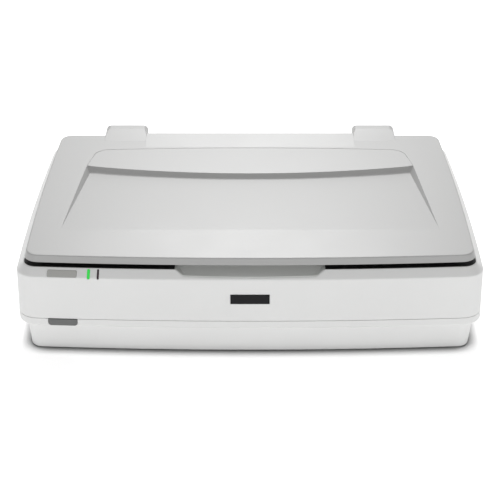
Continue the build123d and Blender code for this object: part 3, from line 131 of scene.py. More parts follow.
class Bench:
    """Builds the nodes of one material, or of the room around the scanner."""

    def __init__(self, name: str, kind: str = "materials") -> None:
        """Start an empty node tree.

        Args:
            name: the material's or the room's name.
            kind: "materials" or "worlds".
        """
        self.owner = getattr(bpy.data, kind).new(name)
        self.owner.use_nodes = True
        self.tree = self.owner.node_tree
        self.tree.nodes.clear()

    def node(self, kind: str, settings: dict[str, Any] | None = None,
             inputs: dict[str | int, Any] | None = None) -> bpy.types.Node:
        """Add one node, its settings first and its sockets after.

        Args:
            kind: node type, without its ShaderNode prefix.
            settings: attribute values of the node.
            inputs: socket name or place, to a value or a Wire.

        Returns:
            The node.
        """
        made = self.tree.nodes.new("ShaderNode" + kind)
        for key, value in (settings or {}).items():
            setattr(made, key, value)
        for key, value in (inputs or {}).items():
            if isinstance(value, Wire):
                self.tree.links.new(value.socket, made.inputs[key])
            elif isinstance(value, (tuple, list)) and len(value) == 3 and made.inputs[key].type == "RGBA":
                made.inputs[key].default_value = (*value, 1.0)
            else:
                made.inputs[key].default_value = value
        return made

    def out(self, made: bpy.types.Node, name: str | int = 0) -> Wire:
        """Wrap one of a node's outputs."""
        return Wire(self, made.outputs[name])

    def sum_of(self, operation: str, a: Wire | float, b: Wire | float) -> Wire:
        """Add a Math node for two values."""
        return self.out(self.node("Math", {"operation": operation}, {0: a, 1: b}))

    def place(self) -> Wire:
        """Object coordinates."""
        return self.out(self.node("TexCoord"), "Object")

    def stretched(self, scale: tuple[float, float, float]) -> Wire:
        """Object coordinates, scaled along each axis."""
        return self.out(self.node("Mapping", {}, {"Vector": self.place(), "Scale": scale}))

    def cloud(self, size: float, detail: float = 2.0, rough: float = 0.5, where: Wire | None = None) -> Wire:
        """Soft noise from 0 to 1.

        Args:
            size: size of one blotch, in metres.
            detail: octaves.
            rough: strength of each further octave.
            where: coordinates, else the object's own.

        Returns:
            The noise value.
        """
        made = self.node("TexNoise", {"noise_dimensions": "3D"},
                         {"Vector": where or self.place(), "Scale": 1.0 / size, "Detail": detail,
                          "Roughness": rough})
        return self.out(made, 0)

    def cells(self, size: float) -> Wire:
        """Distance to the nearest of many scattered points, for moulded grain."""
        made = self.node("TexVoronoi", {"feature": "F1"}, {"Vector": self.place(), "Scale": 1.0 / size})
        return self.out(made, "Distance")

    def blend(self, amount: Wire | float, a: Wire | Colour, b: Wire | Colour, how: str = "MIX") -> Wire:
        """Mix two colours.

        Args:
            amount: 0 for the first, 1 for the second.
            a: first colour.
            b: second colour.
            how: the Mix node's blend type.

        Returns:
            The mixed colour.
        """
        made = self.node("Mix", {"data_type": "RGBA", "blend_type": how}, {0: amount, 6: a, 7: b})
        return self.out(made, 2)

    def edge(self, radius: float) -> tuple[Wire, Wire]:
        """Find edges with rounded normals.

        Args:
            radius: rounding radius in metres.

        Returns:
            The rounded normal, and a mask that is 1 on sharp edges and 0 on flat faces.
        """
        rounded = self.out(self.node("Bevel", {"samples": 6}, {"Radius": radius}))
        plain = self.out(self.node("NewGeometry"), "Normal")
        dot = self.node("VectorMath", {"operation": "DOT_PRODUCT"}, {0: rounded, 1: plain})
        level = self.out(dot, "Value")
        return rounded, ((1.0 - level) * 6.0).at_most(1.0)

    def relief(self, height: Wire, depth: float, normal: Wire | None = None) -> Wire:
        """Turn a height into a normal.

        Args:
            height: height from 0 to 1.
            depth: how deep 1 is, in metres.
            normal: the normal it adds to.

        Returns:
            The bumped normal.
        """
        inputs: dict[str | int, Any] = {"Height": height, "Distance": depth, "Strength": 1.0}
        if normal:
            inputs["Normal"] = normal
        return self.out(self.node("Bump", {}, inputs))

    def finish(self, inputs: dict[str | int, Any]) -> bpy.types.Material:
        """Close the material with a Principled shader.

        Args:
            inputs: the shader's sockets.

        Returns:
            The material.
        """
        shader = self.node("BsdfPrincipled", {}, inputs)
        self.node("OutputMaterial", {}, {"Surface": self.out(shader)})
        return self.owner


# ------------------------------------------------------------------ finishes
@dataclass(frozen=True)
class MouldedPlastic:
    """Injection-moulded plastic: fine grain, faint clouding, edges a touch smoother and made paler by a
    painted highlight.
    """

    name: str
    colour: Colour
    rough: float = 0.45
    grain: float = 0.7 * MM
    grain_depth: float = 0.012 * MM
    cloud: float = 0.03
    edge_radius: float = 0.4 * MM
    edge_highlight_lift: float = 0.10
    gloss: float = 0.5
    coat: float = 0.0

    def make(self) -> bpy.types.Material:
        """Build the material."""
        bench = Bench(self.name)
        normal, edge = bench.edge(self.edge_radius)
        mottle = bench.cloud(60 * MM, 3.0)
        dust = bench.cloud(4 * MM, 4.0, 0.6)
        dark = tuple(max(0.0, c * (1 - self.cloud)) for c in self.colour)
        pale = tuple(min(1.0, c * (1 + self.cloud)) for c in self.colour)
        # Painted highlight: the colour on sharp edges is lifted towards white.
        edge_highlight_colour = tuple(min(1.0, c + (1 - c) * self.edge_highlight_lift) for c in self.colour)
        base = bench.blend(mottle * 0.7 + dust * 0.3, dark, pale)
        base = bench.blend(edge * 0.5, base, edge_highlight_colour)
        height = bench.cells(self.grain) * 0.6 + bench.cloud(self.grain * 0.6, 2.0) * 0.4
        return bench.finish({
            "Base Color": base,
            "Roughness": (self.rough - 0.06) + mottle * 0.06 + dust * 0.06 - edge * 0.05,
            "Specular IOR Level": self.gloss,
            "Coat Weight": self.coat,
            "Coat Roughness": 0.08,
            "Normal": bench.relief(height, self.grain_depth, normal),
        })


@dataclass(frozen=True)
class RolledSteel:
    """Sheet, ground or drawn metal with fine lines along one axis."""

    name: str
    colour: Colour
    rough: float = 0.35
    lines: tuple[float, float, float] = (8.0, 900.0, 900.0)
    depth: float = 0.004 * MM

    def make(self) -> bpy.types.Material:
        """Build the material."""
        bench = Bench(self.name)
        normal, edge = bench.edge(0.25 * MM)
        lines = bench.out(bench.node("TexNoise", {}, {"Vector": bench.stretched(self.lines), "Scale": 1.0,
                                                      "Detail": 3.0}), 0)
        spots = bench.cloud(9 * MM, 3.0)
        dark = tuple(c * 0.86 for c in self.colour)
        base = bench.blend(spots, dark, self.colour)
        # Painted highlight: sharp edges are made paler.
        base = bench.blend(edge * 0.4, base, tuple(min(1.0, c * 1.25) for c in self.colour))
        return bench.finish({
            "Base Color": base,
            "Metallic": 1.0,
            "Roughness": (self.rough - 0.08) + lines * 0.16 + spots * 0.05,
            "Normal": bench.relief(lines, self.depth, normal),
        })


@dataclass(frozen=True)
class SoftRubber:
    """Dull rubber with dust in its pores."""

    name: str
    colour: Colour = (0.018, 0.018, 0.019)
    rough: float = 0.8

    def make(self) -> bpy.types.Material:
        """Build the material."""
        bench = Bench(self.name)
        normal, edge = bench.edge(0.3 * MM)
        pores = bench.cloud(0.5 * MM, 3.0, 0.6)
        dust = bench.cloud(5 * MM, 4.0, 0.65)
        pale = tuple(c * 2.1 + 0.006 for c in self.colour)
        # Dust in the pores and a painted highlight on the edges both make the rubber paler.
        base = bench.blend(dust * 0.5 + edge * 0.25, self.colour, pale)
        return bench.finish({
            "Base Color": base,
            "Roughness": (self.rough - 0.08) + pores * 0.12 + dust * 0.06,
            "Specular IOR Level": 0.3,
            "Normal": bench.relief(pores, 0.05 * MM, normal),
        })


@dataclass(frozen=True)
class FloatGlass:
    """Clear plate with a green cast and a few specks of dust."""

    name: str
    colour: Colour = (0.90, 0.97, 0.94)

    def make(self) -> bpy.types.Material:
        """Build the material."""
        bench = Bench(self.name)
        specks = bench.cloud(1.4 * MM, 3.0, 0.7)
        smear = bench.cloud(35 * MM, 3.0)
        return bench.finish({
            "Base Color": bench.blend(smear * 0.4, self.colour, tuple(c * 0.985 for c in self.colour)),
            "Roughness": 0.005 + (specks - 0.66).at_least(0.0) * 0.5 + smear * 0.01,
            "Transmission Weight": 1.0,
            "IOR": 1.5,
        })


@dataclass(frozen=True)
class LightGuide:
    """Tinted clear moulding, lit from inside or dark."""

    name: str
    colour: Colour
    glow: Colour = (0.0, 0.0, 0.0)
    strength: float = 0.0

    def make(self) -> bpy.types.Material:
        """Build the material."""
        bench = Bench(self.name)
        normal, edge = bench.edge(0.3 * MM)
        streak = bench.cloud(2.5 * MM, 2.0)
        inputs: dict[str | int, Any] = {
            # Streaks in the moulding and a painted highlight on the edges make it paler.
            "Base Color": bench.blend(streak * 0.4 + edge * 0.2, self.colour,
                                      tuple(min(1.0, c * 1.4 + 0.02) for c in self.colour)),
            "Roughness": 0.16 + streak * 0.1,
            "Coat Weight": 0.4,
            "Normal": normal,
        }
        if self.strength:
            rim = tuple(c * 0.55 for c in self.glow)
            inputs["Emission Color"] = bench.blend(edge, self.glow, rim)
            inputs["Emission Strength"] = self.strength
        return bench.finish(inputs)


@dataclass(frozen=True)
class CircuitLaminate:
    """Solder-masked laminate with copper tracks and pads under the mask."""

    name: str
    mask: Colour = (0.012, 0.11, 0.045)
    track: Colour = (0.03, 0.22, 0.09)
    pad: Colour = (0.62, 0.58, 0.48)

    def make(self) -> bpy.types.Material:
        """Build the material."""
        bench = Bench(self.name)
        lanes = bench.node("TexBrick", {"offset": 0.37, "offset_frequency": 3},
                           {"Vector": bench.place(), "Scale": 130.0, "Mortar Size": 0.012,
                            "Brick Width": 1.6, "Row Height": 0.22})
        copper = bench.out(lanes, 1)
        dots = (0.16 - bench.cells(3.2 * MM)).above(0.0)
        tint = bench.cloud(25 * MM, 2.0)
        base = bench.blend(copper, self.mask, self.track)
        base = bench.blend(tint * 0.3, base, (0.02, 0.07, 0.03))
        base = bench.blend(dots, base, self.pad)
        return bench.finish({
            "Base Color": base,
            "Metallic": dots * 0.8,
            "Roughness": 0.28 + tint * 0.12,
            "Coat Weight": 0.2,
            "Normal": bench.relief(copper * 0.5 + dots * 0.5, 0.04 * MM),
        })


@dataclass(frozen=True)
class WovenSheet:
    """White faced sheet of the document mat, with a fine crossed weave."""

    name: str
    colour: Colour = (0.84, 0.84, 0.825)
    thread: float = 0.9 * MM

    def make(self) -> bpy.types.Material:
        """Build the material."""
        bench = Bench(self.name)
        across = bench.out(bench.node("TexWave", {"bands_direction": "X"},
                                      {"Vector": bench.place(), "Scale": 0.16 / self.thread,
                                       "Distortion": 0.4}), 1)
        along = bench.out(bench.node("TexWave", {"bands_direction": "Y"},
                                     {"Vector": bench.place(), "Scale": 0.16 / self.thread,
                                      "Distortion": 0.4}), 1)
        weave = across.at_least(along)
        soil = bench.cloud(80 * MM, 4.0)
        base = bench.blend(weave, tuple(c * 0.9 for c in self.colour), self.colour)
        base = bench.blend(soil * 0.12, base, (0.72, 0.71, 0.66))
        return bench.finish({
            "Base Color": base,
            "Roughness": 0.82 + soil * 0.1,
            "Specular IOR Level": 0.2,
            "Sheen Weight": 0.2,
            "Normal": bench.relief(weave, 0.08 * MM),
        })


@dataclass(frozen=True)
class FlatRibbon:
    """Flat cable: pale film with a row of conductors along X."""

    name: str
    film: Colour = (0.74, 0.75, 0.77)
    lane: Colour = (0.46, 0.45, 0.43)
    pitch: float = 1.0 * MM

    def make(self) -> bpy.types.Material:
        """Build the material."""
        bench = Bench(self.name)
        lanes = bench.out(bench.node("TexWave", {"bands_direction": "Y", "wave_profile": "SIN"},
                                     {"Vector": bench.place(), "Scale": 0.32 / self.pitch}), 1)
        scuff = bench.cloud(6 * MM, 3.0)
        base = bench.blend((lanes - 0.55).above(0.0) * 0.7, self.film, self.lane)
        return bench.finish({
            "Base Color": bench.blend(scuff * 0.15, base, (0.55, 0.55, 0.55)),
            "Roughness": 0.3 + scuff * 0.15,
            "Normal": bench.relief(lanes, 0.05 * MM),
        })


@dataclass(frozen=True)
class PaleFloor:
    """Matt studio floor with a faint glow of its own, and a painted contact shadow: a narrow dark line round
    what stands on it, where the glow is also taken away.
    """

    name: str = "studio_floor"
    colour: Colour = (0.94, 0.94, 0.94)
    glow: float = 0.50
    contact_shadow_reach: float = 24 * MM
    contact_shadow_tone: float = 0.42
    open_from: float = 0.5
    open_gain: float = 2.4

    def make(self) -> bpy.types.Material:
        """Build the material."""
        bench = Bench(self.name)
        tone = bench.cloud(900 * MM, 2.0)
        # Painted contact shadow: colour darkened and glow taken away where the AO node finds something within
        # reach.
        near = bench.node("AmbientOcclusion", {"samples": 16}, {"Distance": self.contact_shadow_reach})
        shade = ((bench.out(near, "AO") - self.open_from) * self.open_gain).at_least(0.0).at_most(1.0)
        base = bench.blend(tone * 0.3, self.colour, tuple(c * 0.99 for c in self.colour))
        return bench.finish({
            "Base Color": bench.blend(shade, tuple(c * self.contact_shadow_tone for c in self.colour), base),
            "Roughness": 0.9,
            "Specular IOR Level": 0.1,
            "Emission Color": bench.blend(shade, (0.0, 0.0, 0.0), (1.0, 1.0, 1.0)),
            "Emission Strength": self.glow,
        })


class Finish(Enum):
    """Every finish on the scanner, by the slot it belongs to."""

    CASE = MouldedPlastic("case_white", (0.81, 0.812, 0.805), rough=0.48)
    COVER = MouldedPlastic("cover_grey", (0.462, 0.462, 0.457), rough=0.42, cloud=0.02)
    FRAME = MouldedPlastic("frame_black", (0.008, 0.008, 0.008), rough=0.34, edge_highlight_lift=0.03)
    # Grip recess grey: darker than the case white, partly the insert's own grey and partly painted shade of
    # the recess under the lid's edge.
    SCOOP = MouldedPlastic("scoop_grey", (0.69, 0.70, 0.68), rough=0.5, edge_highlight_lift=0.04)
    REFERENCE = MouldedPlastic("reference_white", (0.82, 0.82, 0.81), rough=0.7, grain_depth=0.004 * MM)
    FEET = SoftRubber("foot_rubber")
    SCREWS = RolledSteel("screw_steel", (0.55, 0.55, 0.56), lines=(600.0, 600.0, 20.0))
    BADGE = MouldedPlastic("badge_black", (0.012, 0.012, 0.013), rough=0.3, edge_highlight_lift=0.06,
                           grain_depth=0.004 * MM, gloss=0.15)
    START = MouldedPlastic("start_grey", (0.455, 0.455, 0.435), rough=0.38, edge_highlight_lift=0.06)
    POWER = MouldedPlastic("power_grey", (0.145, 0.15, 0.147), rough=0.4, edge_highlight_lift=0.05)
    READY = LightGuide("green_light", (0.02, 0.45, 0.05), (0.02, 0.62, 0.06), 0.52)
    FAULT = LightGuide("red_light", (0.036, 0.016, 0.027))
    BOARD = CircuitLaminate("board_green")
    SWITCH = MouldedPlastic("switch_black", (0.02, 0.02, 0.02), rough=0.42)
    SHEET = RolledSteel("sheet_steel", (0.60, 0.61, 0.62), rough=0.38)
    SHAFT = RolledSteel("shaft_steel", (0.78, 0.78, 0.79), rough=0.16, lines=(900.0, 30.0, 30.0))
    SPRING = RolledSteel("spring_steel", (0.40, 0.40, 0.42), rough=0.3)
    SOCKET = RolledSteel("socket_metal", (0.70, 0.70, 0.69), rough=0.25, lines=(300.0, 20.0, 300.0))
    INLET = MouldedPlastic("socket_black", (0.016, 0.016, 0.016), rough=0.4)
    LOCK = MouldedPlastic("lock_grey", (0.14, 0.14, 0.14), rough=0.45)
    MOULDING = MouldedPlastic("black_moulding", (0.022, 0.022, 0.023), rough=0.55, grain=1.1 * MM)
    BRONZE = RolledSteel("bronze", (0.60, 0.40, 0.19), rough=0.4, lines=(900.0, 60.0, 60.0))
    ACETAL = MouldedPlastic("slide_white", (0.74, 0.73, 0.68), rough=0.36, grain_depth=0.005 * MM)
    BELT = SoftRubber("belt_rubber", (0.014, 0.014, 0.014), 0.7)
    MOTOR = MouldedPlastic("motor_black", (0.02, 0.02, 0.02), rough=0.32, coat=0.3)
    PULLEY = RolledSteel("pulley_brass", (0.74, 0.56, 0.25), rough=0.26, lines=(60.0, 60.0, 900.0))
    LAMP = LightGuide("lamp_white", (0.86, 0.87, 0.88))
    MIRROR = RolledSteel("mirror_glass", (0.92, 0.93, 0.94), rough=0.1, depth=0.0005 * MM)
    BRIGHT = RolledSteel("bright_strip", (0.84, 0.84, 0.84), rough=0.2, lines=(900.0, 12.0, 900.0))
    RIBBON = FlatRibbon("ribbon_white")
    PANEL = MouldedPlastic("panel_grey", (0.42, 0.42, 0.415), rough=0.5)
    GLASS = FloatGlass("float_glass")
    MAT = WovenSheet("mat_white")


class Paintbox:
    """Makes each finish once and puts it on objects."""

    def __init__(self) -> None:
        """Start with nothing made."""
        self.made: dict[str, bpy.types.Material] = {}

    def material(self, finish: Finish) -> bpy.types.Material:
        """Give a finish's material, made on first use."""
        if finish.name not in self.made:
            self.made[finish.name] = finish.value.make()
        return self.made[finish.name]

    def dress(self, obj: bpy.types.Object, finish: Finish) -> None:
        """Put a finish in every material slot of an object."""
        if not obj.material_slots:
            obj.data.materials.append(self.material(finish))
        for place in obj.material_slots:
            place.material = self.material(finish)

    def dress_frame(self, frame: dict[str, Any]) -> None:
        """Dress every frame part by the slot its record names.

        Args:
            frame: the loaded frame.
        """
        by_slot = {finish.value.name: finish for finish in Finish}
        for row in frame["record"]["subparts"]:
            self.dress(frame["nodes"][row["node"]], by_slot[row["material_slot"]])
            log.info("dressed %s with %s", row["node"], row["material_slot"])


# ------------------------------------------------------------------ mesh work
def object_from(name: str, mesh: bmesh.types.BMesh, smooth_below: float = 35.0) -> bpy.types.Object:
    """Turn finished mesh work into an object.

    Args:
        name: the object's name.
        mesh: the mesh work, freed here.
        smooth_below: faces that meet at less than this angle look smooth.

    Returns:
        The object, linked to the scene.
    """
    data = bpy.data.meshes.new(name)
    mesh.to_mesh(data)
    mesh.free()
    data.shade_smooth()
    data.set_sharp_from_angle(angle=math.radians(smooth_below))
    obj = bpy.data.objects.new(name, data)
    bpy.context.scene.collection.objects.link(obj)
    return obj


def add_box(mesh: bmesh.types.BMesh, low: Sequence[float], high: Sequence[float], round_by: float = 0.0,
            steps: int = 2) -> None:
    """Add a block with rounded edges.

    Args:
        mesh: mesh work to add to.
        low: lowest corner.
        high: highest corner.
        round_by: edge radius.
        steps: segments in each rounded edge.
    """
    size = [b - a for a, b in zip(low, high)]
    middle = [(a + b) / 2 for a, b in zip(low, high)]
    place = Matrix.Translation(middle) @ Matrix.Diagonal((*size, 1.0))
    made = bmesh.ops.create_cube(mesh, size=1.0, matrix=place)
    if round_by:
        edges = list({e for v in made["verts"] for e in v.link_edges})
        bmesh.ops.bevel(mesh, geom=edges, offset=round_by, segments=steps, affect="EDGES", profile=0.5)


def add_lathe(mesh: bmesh.types.BMesh, centre: Sequence[float], profile: Sequence[tuple[float, float]],
              sides: int = 32) -> None:
    """Add a closed turned shape about Z.

    Args:
        mesh: mesh work to add to.
        centre: where its axis stands.
        profile: (radius, height) points, the first and last on the axis.
        sides: segments round the turn.
    """
    rings = []
    for radius, height in profile:
        if radius == 0.0:
            rings.append([mesh.verts.new((centre[0], centre[1], centre[2] + height))])
            continue
        turn = [2 * math.pi * n / sides for n in range(sides)]
        rings.append([mesh.verts.new((centre[0] + radius * math.cos(a), centre[1] + radius * math.sin(a),
                                      centre[2] + height)) for a in turn])
    for below, above in zip(rings, rings[1:]):
        for n in range(sides):
            m = (n + 1) % sides
            loop = [below[n % len(below)], below[m % len(below)],
                    above[m % len(above)], above[n % len(above)]]
            mesh.faces.new(list(dict.fromkeys(loop)))
    bmesh.ops.recalc_face_normals(mesh, faces=mesh.faces[:])


# ------------------------------------------------------------------ repeated shapes
class Repeater:
    """Geometry Nodes trees for what repeats along a line or a path."""

    def __init__(self, name: str, sockets: Sequence[tuple[str, str]]) -> None:
        """Start a tree.

        Args:
            name: the tree's name.
            sockets: names and socket types of its inputs.
        """
        self.tree = bpy.data.node_groups.new(name, "GeometryNodeTree")
        face = self.tree.interface
        face.new_socket("Geometry", in_out="INPUT", socket_type="NodeSocketGeometry")
        for label, kind in sockets:
            face.new_socket(label, in_out="INPUT", socket_type="NodeSocket" + kind)
        face.new_socket("Geometry", in_out="OUTPUT", socket_type="NodeSocketGeometry")
        self.inlet = self.tree.nodes.new("NodeGroupInput")
        self.outlet = self.tree.nodes.new("NodeGroupOutput")

    def step(self, kind: str, settings: dict[str, Any] | None = None,
             inputs: dict[str | int, Any] | None = None) -> bpy.types.Node:
        """Add one node.

        Args:
            kind: full node type.
            settings: attribute values.
            inputs: socket name or place, to a value or another socket.

        Returns:
            The node.
        """
        made = self.tree.nodes.new(kind)
        for key, value in (settings or {}).items():
            setattr(made, key, value)
        for key, value in (inputs or {}).items():
            if isinstance(value, bpy.types.NodeSocket):
                self.tree.links.new(value, made.inputs[key])
            else:
                made.inputs[key].default_value = value
        return made

    def close(self, shape: bpy.types.NodeSocket, material: bpy.types.NodeSocket) -> None:
        """End the tree with Realize Instances and Set Material."""
        real = self.step("GeometryNodeRealizeInstances", {}, {"Geometry": shape})
        dressed = self.step("GeometryNodeSetMaterial", {},
                            {"Geometry": real.outputs[0], "Material": material})
        self.tree.links.new(dressed.outputs[0], self.outlet.inputs[0])

    def run(self, host: bpy.types.Object, values: dict[str, Any], name: str) -> bpy.types.Object:
        """Run the tree on an object and keep the result as a plain mesh.

        Args:
            host: the object the tree starts from, removed at the end.
            values: a value for each named input.
            name: the new object's name.

        Returns:
            The new object.
        """
        modifier = host.modifiers.new("repeat", "NODES")
        modifier.node_group = self.tree
        keys = {item.name: item.identifier for item in self.tree.interface.items_tree
                if item.item_type == "SOCKET" and item.in_out == "INPUT"}
        for label, value in values.items():
            modifier[keys[label]] = value
        host.update_tag()
        bpy.context.view_layer.update()
        shape = host.evaluated_get(bpy.context.evaluated_depsgraph_get())
        data = bpy.data.meshes.new_from_object(shape)
        obj = bpy.data.objects.new(name, data)
        bpy.context.scene.collection.objects.link(obj)
        host.modifiers.remove(modifier)
        bpy.data.objects.remove(host)
        return obj


def line_repeater() -> Repeater:
    """Tree that sets copies of one shape along a straight line."""
    made = Repeater("set_along_line", [("Shape", "Object"), ("Start", "Vector"), ("Step", "Vector"),
                                       ("Count", "Int"), ("Finish", "Material")])
    line = made.step("GeometryNodeMeshLine", {"mode": "OFFSET"},
                     {"Count": made.inlet.outputs["Count"], "Start Location": made.inlet.outputs["Start"],
                      "Offset": made.inlet.outputs["Step"]})
    shape = made.step("GeometryNodeObjectInfo", {}, {"Object": made.inlet.outputs["Shape"]})
    copies = made.step("GeometryNodeInstanceOnPoints", {},
                       {"Points": line.outputs[0], "Instance": shape.outputs["Geometry"]})
    made.close(copies.outputs[0], made.inlet.outputs["Finish"])
    return made


def belt_repeater() -> Repeater:
    """Tree that makes a toothed belt round a closed path."""
    made = Repeater("toothed_belt", [("Tooth", "Object"), ("Teeth", "Int"), ("Band width", "Float"),
                                     ("Band thickness", "Float"), ("Finish", "Material")])
    path = made.inlet.outputs["Geometry"]
    section = made.step("GeometryNodeCurvePrimitiveQuadrilateral", {"mode": "RECTANGLE"},
                        {"Width": made.inlet.outputs["Band thickness"],
                         "Height": made.inlet.outputs["Band width"]})
    band = made.step("GeometryNodeCurveToMesh", {}, {"Curve": path, "Profile Curve": section.outputs[0]})
    points = made.step("GeometryNodeCurveToPoints", {"mode": "COUNT"},
                       {"Curve": path, "Count": made.inlet.outputs["Teeth"]})
    tooth = made.step("GeometryNodeObjectInfo", {}, {"Object": made.inlet.outputs["Tooth"]})
    turn = made.step("FunctionNodeAlignRotationToVector", {"axis": "X", "pivot_axis": "Z"},
                     {"Vector": points.outputs["Tangent"]})
    copies = made.step("GeometryNodeInstanceOnPoints", {},
                       {"Points": points.outputs["Points"], "Instance": tooth.outputs["Geometry"],
                        "Rotation": turn.outputs[0]})
    both = made.step("GeometryNodeJoinGeometry")
    made.tree.links.new(band.outputs[0], both.inputs[0])
    made.tree.links.new(copies.outputs[0], both.inputs[0])
    made.close(both.outputs[0], made.inlet.outputs["Finish"])
    return made


# ------------------------------------------------------------------ sub-assemblies
@dataclass
class DocumentMat:
    """White sheet on foam that presses the page on the glass."""

    corner: float = 6 * MM
    soft_edge: float = 2.2 * MM
    sink: float = 0.5 * MM
    cells_across: int = 44
    cells_deep: int = 31

    def build(self, paint: Paintbox) -> bpy.types.Object:
        """Build the pad between the cover's panel and the glass.

        Args:
            paint: the finishes.

        Returns:
            The pad.
        """
        low, high = (Vector(c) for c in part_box("document_mat"))
        mesh = bmesh.new()
        bmesh.ops.create_grid(mesh, x_segments=self.cells_across, y_segments=self.cells_deep, size=0.5)
        bmesh.ops.bevel(mesh, geom=[v for v in mesh.verts if abs(abs(v.co.x) - 0.5) < 1e-6
                                    and abs(abs(v.co.y) - 0.5) < 1e-6], offset=0.0001, affect="VERTICES")
        size = high - low
        for v in mesh.verts:
            v.co = Vector((v.co.x * size.x, v.co.y * size.y, 0.0))
            self.round_corner(v.co, size)
        flat = bmesh.ops.extrude_face_region(mesh, geom=mesh.faces[:])
        for item in flat["geom"]:
            if isinstance(item, bmesh.types.BMVert):
                item.co.z += size.z
        mesh.normal_update()
        rim = [e for e in mesh.edges if len(e.link_faces) == 2
               and abs(e.link_faces[0].normal.dot(e.link_faces[1].normal)) < 0.3
               and abs(e.verts[0].co.z - e.verts[1].co.z) < 1e-7]
        bmesh.ops.bevel(mesh, geom=rim, offset=self.soft_edge, segments=4, affect="EDGES", profile=0.5)
        middle = (low + high) / 2
        for v in mesh.verts:
            dip = 0.0
            if v.co.z < size.z * 0.4:
                dip = self.sink * (1 - math.cos(v.co.x / size.x * 14) * math.cos(v.co.y / size.y * 10)) / 2
            v.co = Vector((middle.x + v.co.x, middle.y + v.co.y, low.z + v.co.z + dip))
        bmesh.ops.recalc_face_normals(mesh, faces=mesh.faces[:])
        mat = object_from("document_mat_pad", mesh, 60.0)
        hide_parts("document_mat")
        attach(mat, "cover")
        paint.dress(mat, Finish.MAT)
        return mat

    def round_corner(self, point: Vector, size: Vector) -> None:
        """Pull a point inside the rounded corner of the plan."""
        inner_x = size.x / 2 - self.corner
        inner_y = size.y / 2 - self.corner
        over = Vector((max(abs(point.x) - inner_x, 0.0), max(abs(point.y) - inner_y, 0.0)))
        if over.x > 0 and over.y > 0:
            over = over * (self.corner * max(over.x, over.y) / self.corner / over.length)
            point.x = math.copysign(inner_x + over.x, point.x)
            point.y = math.copysign(inner_y + over.y, point.y)


@dataclass
class ToothedBelt:
    """One closed belt round two pulleys."""

    node: str
    wheel_a: str
    wheel_b: str
    body_radius_a: float
    body_radius_b: float
    pitch: float = 3.0 * MM
    thickness: float = 0.9 * MM
    tooth: float = 0.6 * MM
    clearance: float = 0.3 * MM

    def path(self, height: float) -> bpy.types.Object:
        """Draw the belt's middle line as a closed polygon curve.

        Args:
            height: z of the line.

        Returns:
            A curve object.
        """
        centres = []
        for wheel in (self.wheel_a, self.wheel_b):
            low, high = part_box(wheel)
            centres.append(Vector(((low[0] + high[0]) / 2, (low[1] + high[1]) / 2)))
        run = centres[1] - centres[0]
        radii = [r + self.clearance + self.tooth + self.thickness / 2
                 for r in (self.body_radius_a, self.body_radius_b)]
        heading = math.atan2(run.y, run.x)
        lean = math.acos((radii[0] - radii[1]) / run.length)
        points = []
        for centre, radius, start, sweep in ((centres[1], radii[1], heading - lean, 2 * lean),
                                             (centres[0], radii[0], heading + lean, 2 * (math.pi - lean))):
            for n in range(33):
                a = start + sweep * n / 32
                points.append((centre.x + radius * math.cos(a), centre.y + radius * math.sin(a), height, 1.0))
        curve = bpy.data.curves.new(self.node + "_path", "CURVE")
        curve.dimensions = "3D"
        spline = curve.splines.new("POLY")
        spline.points.add(len(points) - 1)
        for point, where in zip(spline.points, points):
            point.co = where
        spline.use_cyclic_u = True
        obj = bpy.data.objects.new(self.node + "_path", curve)
        bpy.context.scene.collection.objects.link(obj)
        return obj

    def build(self, paint: Paintbox, trees: Repeater) -> bpy.types.Object:
        """Build the band with its teeth.

        Args:
            paint: the finishes.
            trees: the belt tree.

        Returns:
            The belt.
        """
        low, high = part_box(self.node)
        width = high[2] - low[2]
        path = self.path((low[2] + high[2]) / 2)
        length = sum((Vector(a.co[:3]) - Vector(b.co[:3])).length for a, b in
                     zip(path.data.splines[0].points, path.data.splines[0].points[1:]))
        tooth = bmesh.new()
        side = self.thickness / 2
        add_box(tooth, (-self.pitch * 0.24, side, -width / 2),
                (self.pitch * 0.24, side + self.tooth, width / 2), 0.15 * MM, 1)
        shape = object_from(self.node + "_tooth", tooth)
        belt = trees.run(path, {"Tooth": shape, "Teeth": round(length / self.pitch), "Band width": width,
                                "Band thickness": self.thickness,
                                "Finish": paint.material(Finish.BELT)}, self.node + "_toothed")
        bpy.data.objects.remove(shape)
        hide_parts(self.node)
        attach(belt, "case")
        return belt


@dataclass
class RubberFeet:
    """Four round feet with ringed soles."""

    radius: float = 11 * MM
    ring_count: int = 3
    groove: float = 0.7 * MM

    def build(self, paint: Paintbox) -> bpy.types.Object:
        """Build the four feet."""
        low, high = (Vector(c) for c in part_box("rubber_feet"))
        tall = high.z - low.z
        profile = [(0.0, 0.0)]
        pitch = (self.radius - 2 * MM) / (self.ring_count + 0.5)
        for n in range(self.ring_count):
            start = pitch * (n + 0.5)
            profile += [(start, 0.0), (start + 0.25 * pitch, self.groove),
                        (start + 0.55 * pitch, self.groove), (start + 0.8 * pitch, 0.0)]
        profile += [(self.radius - 1.1 * MM, 0.0), (self.radius - 0.35 * MM, 0.3 * MM),
                    (self.radius, 1.1 * MM), (self.radius, tall), (0.0, tall)]
        mesh = bmesh.new()
        for x in (low.x + self.radius, high.x - self.radius):
            for y in (low.y + self.radius, high.y - self.radius):
                add_lathe(mesh, (x, y, low.z), profile, 40)
        feet = object_from("ringed_feet", mesh, 40.0)
        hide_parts("rubber_feet")
        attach(feet, "case")
        paint.dress(feet, Finish.FEET)
        return feet


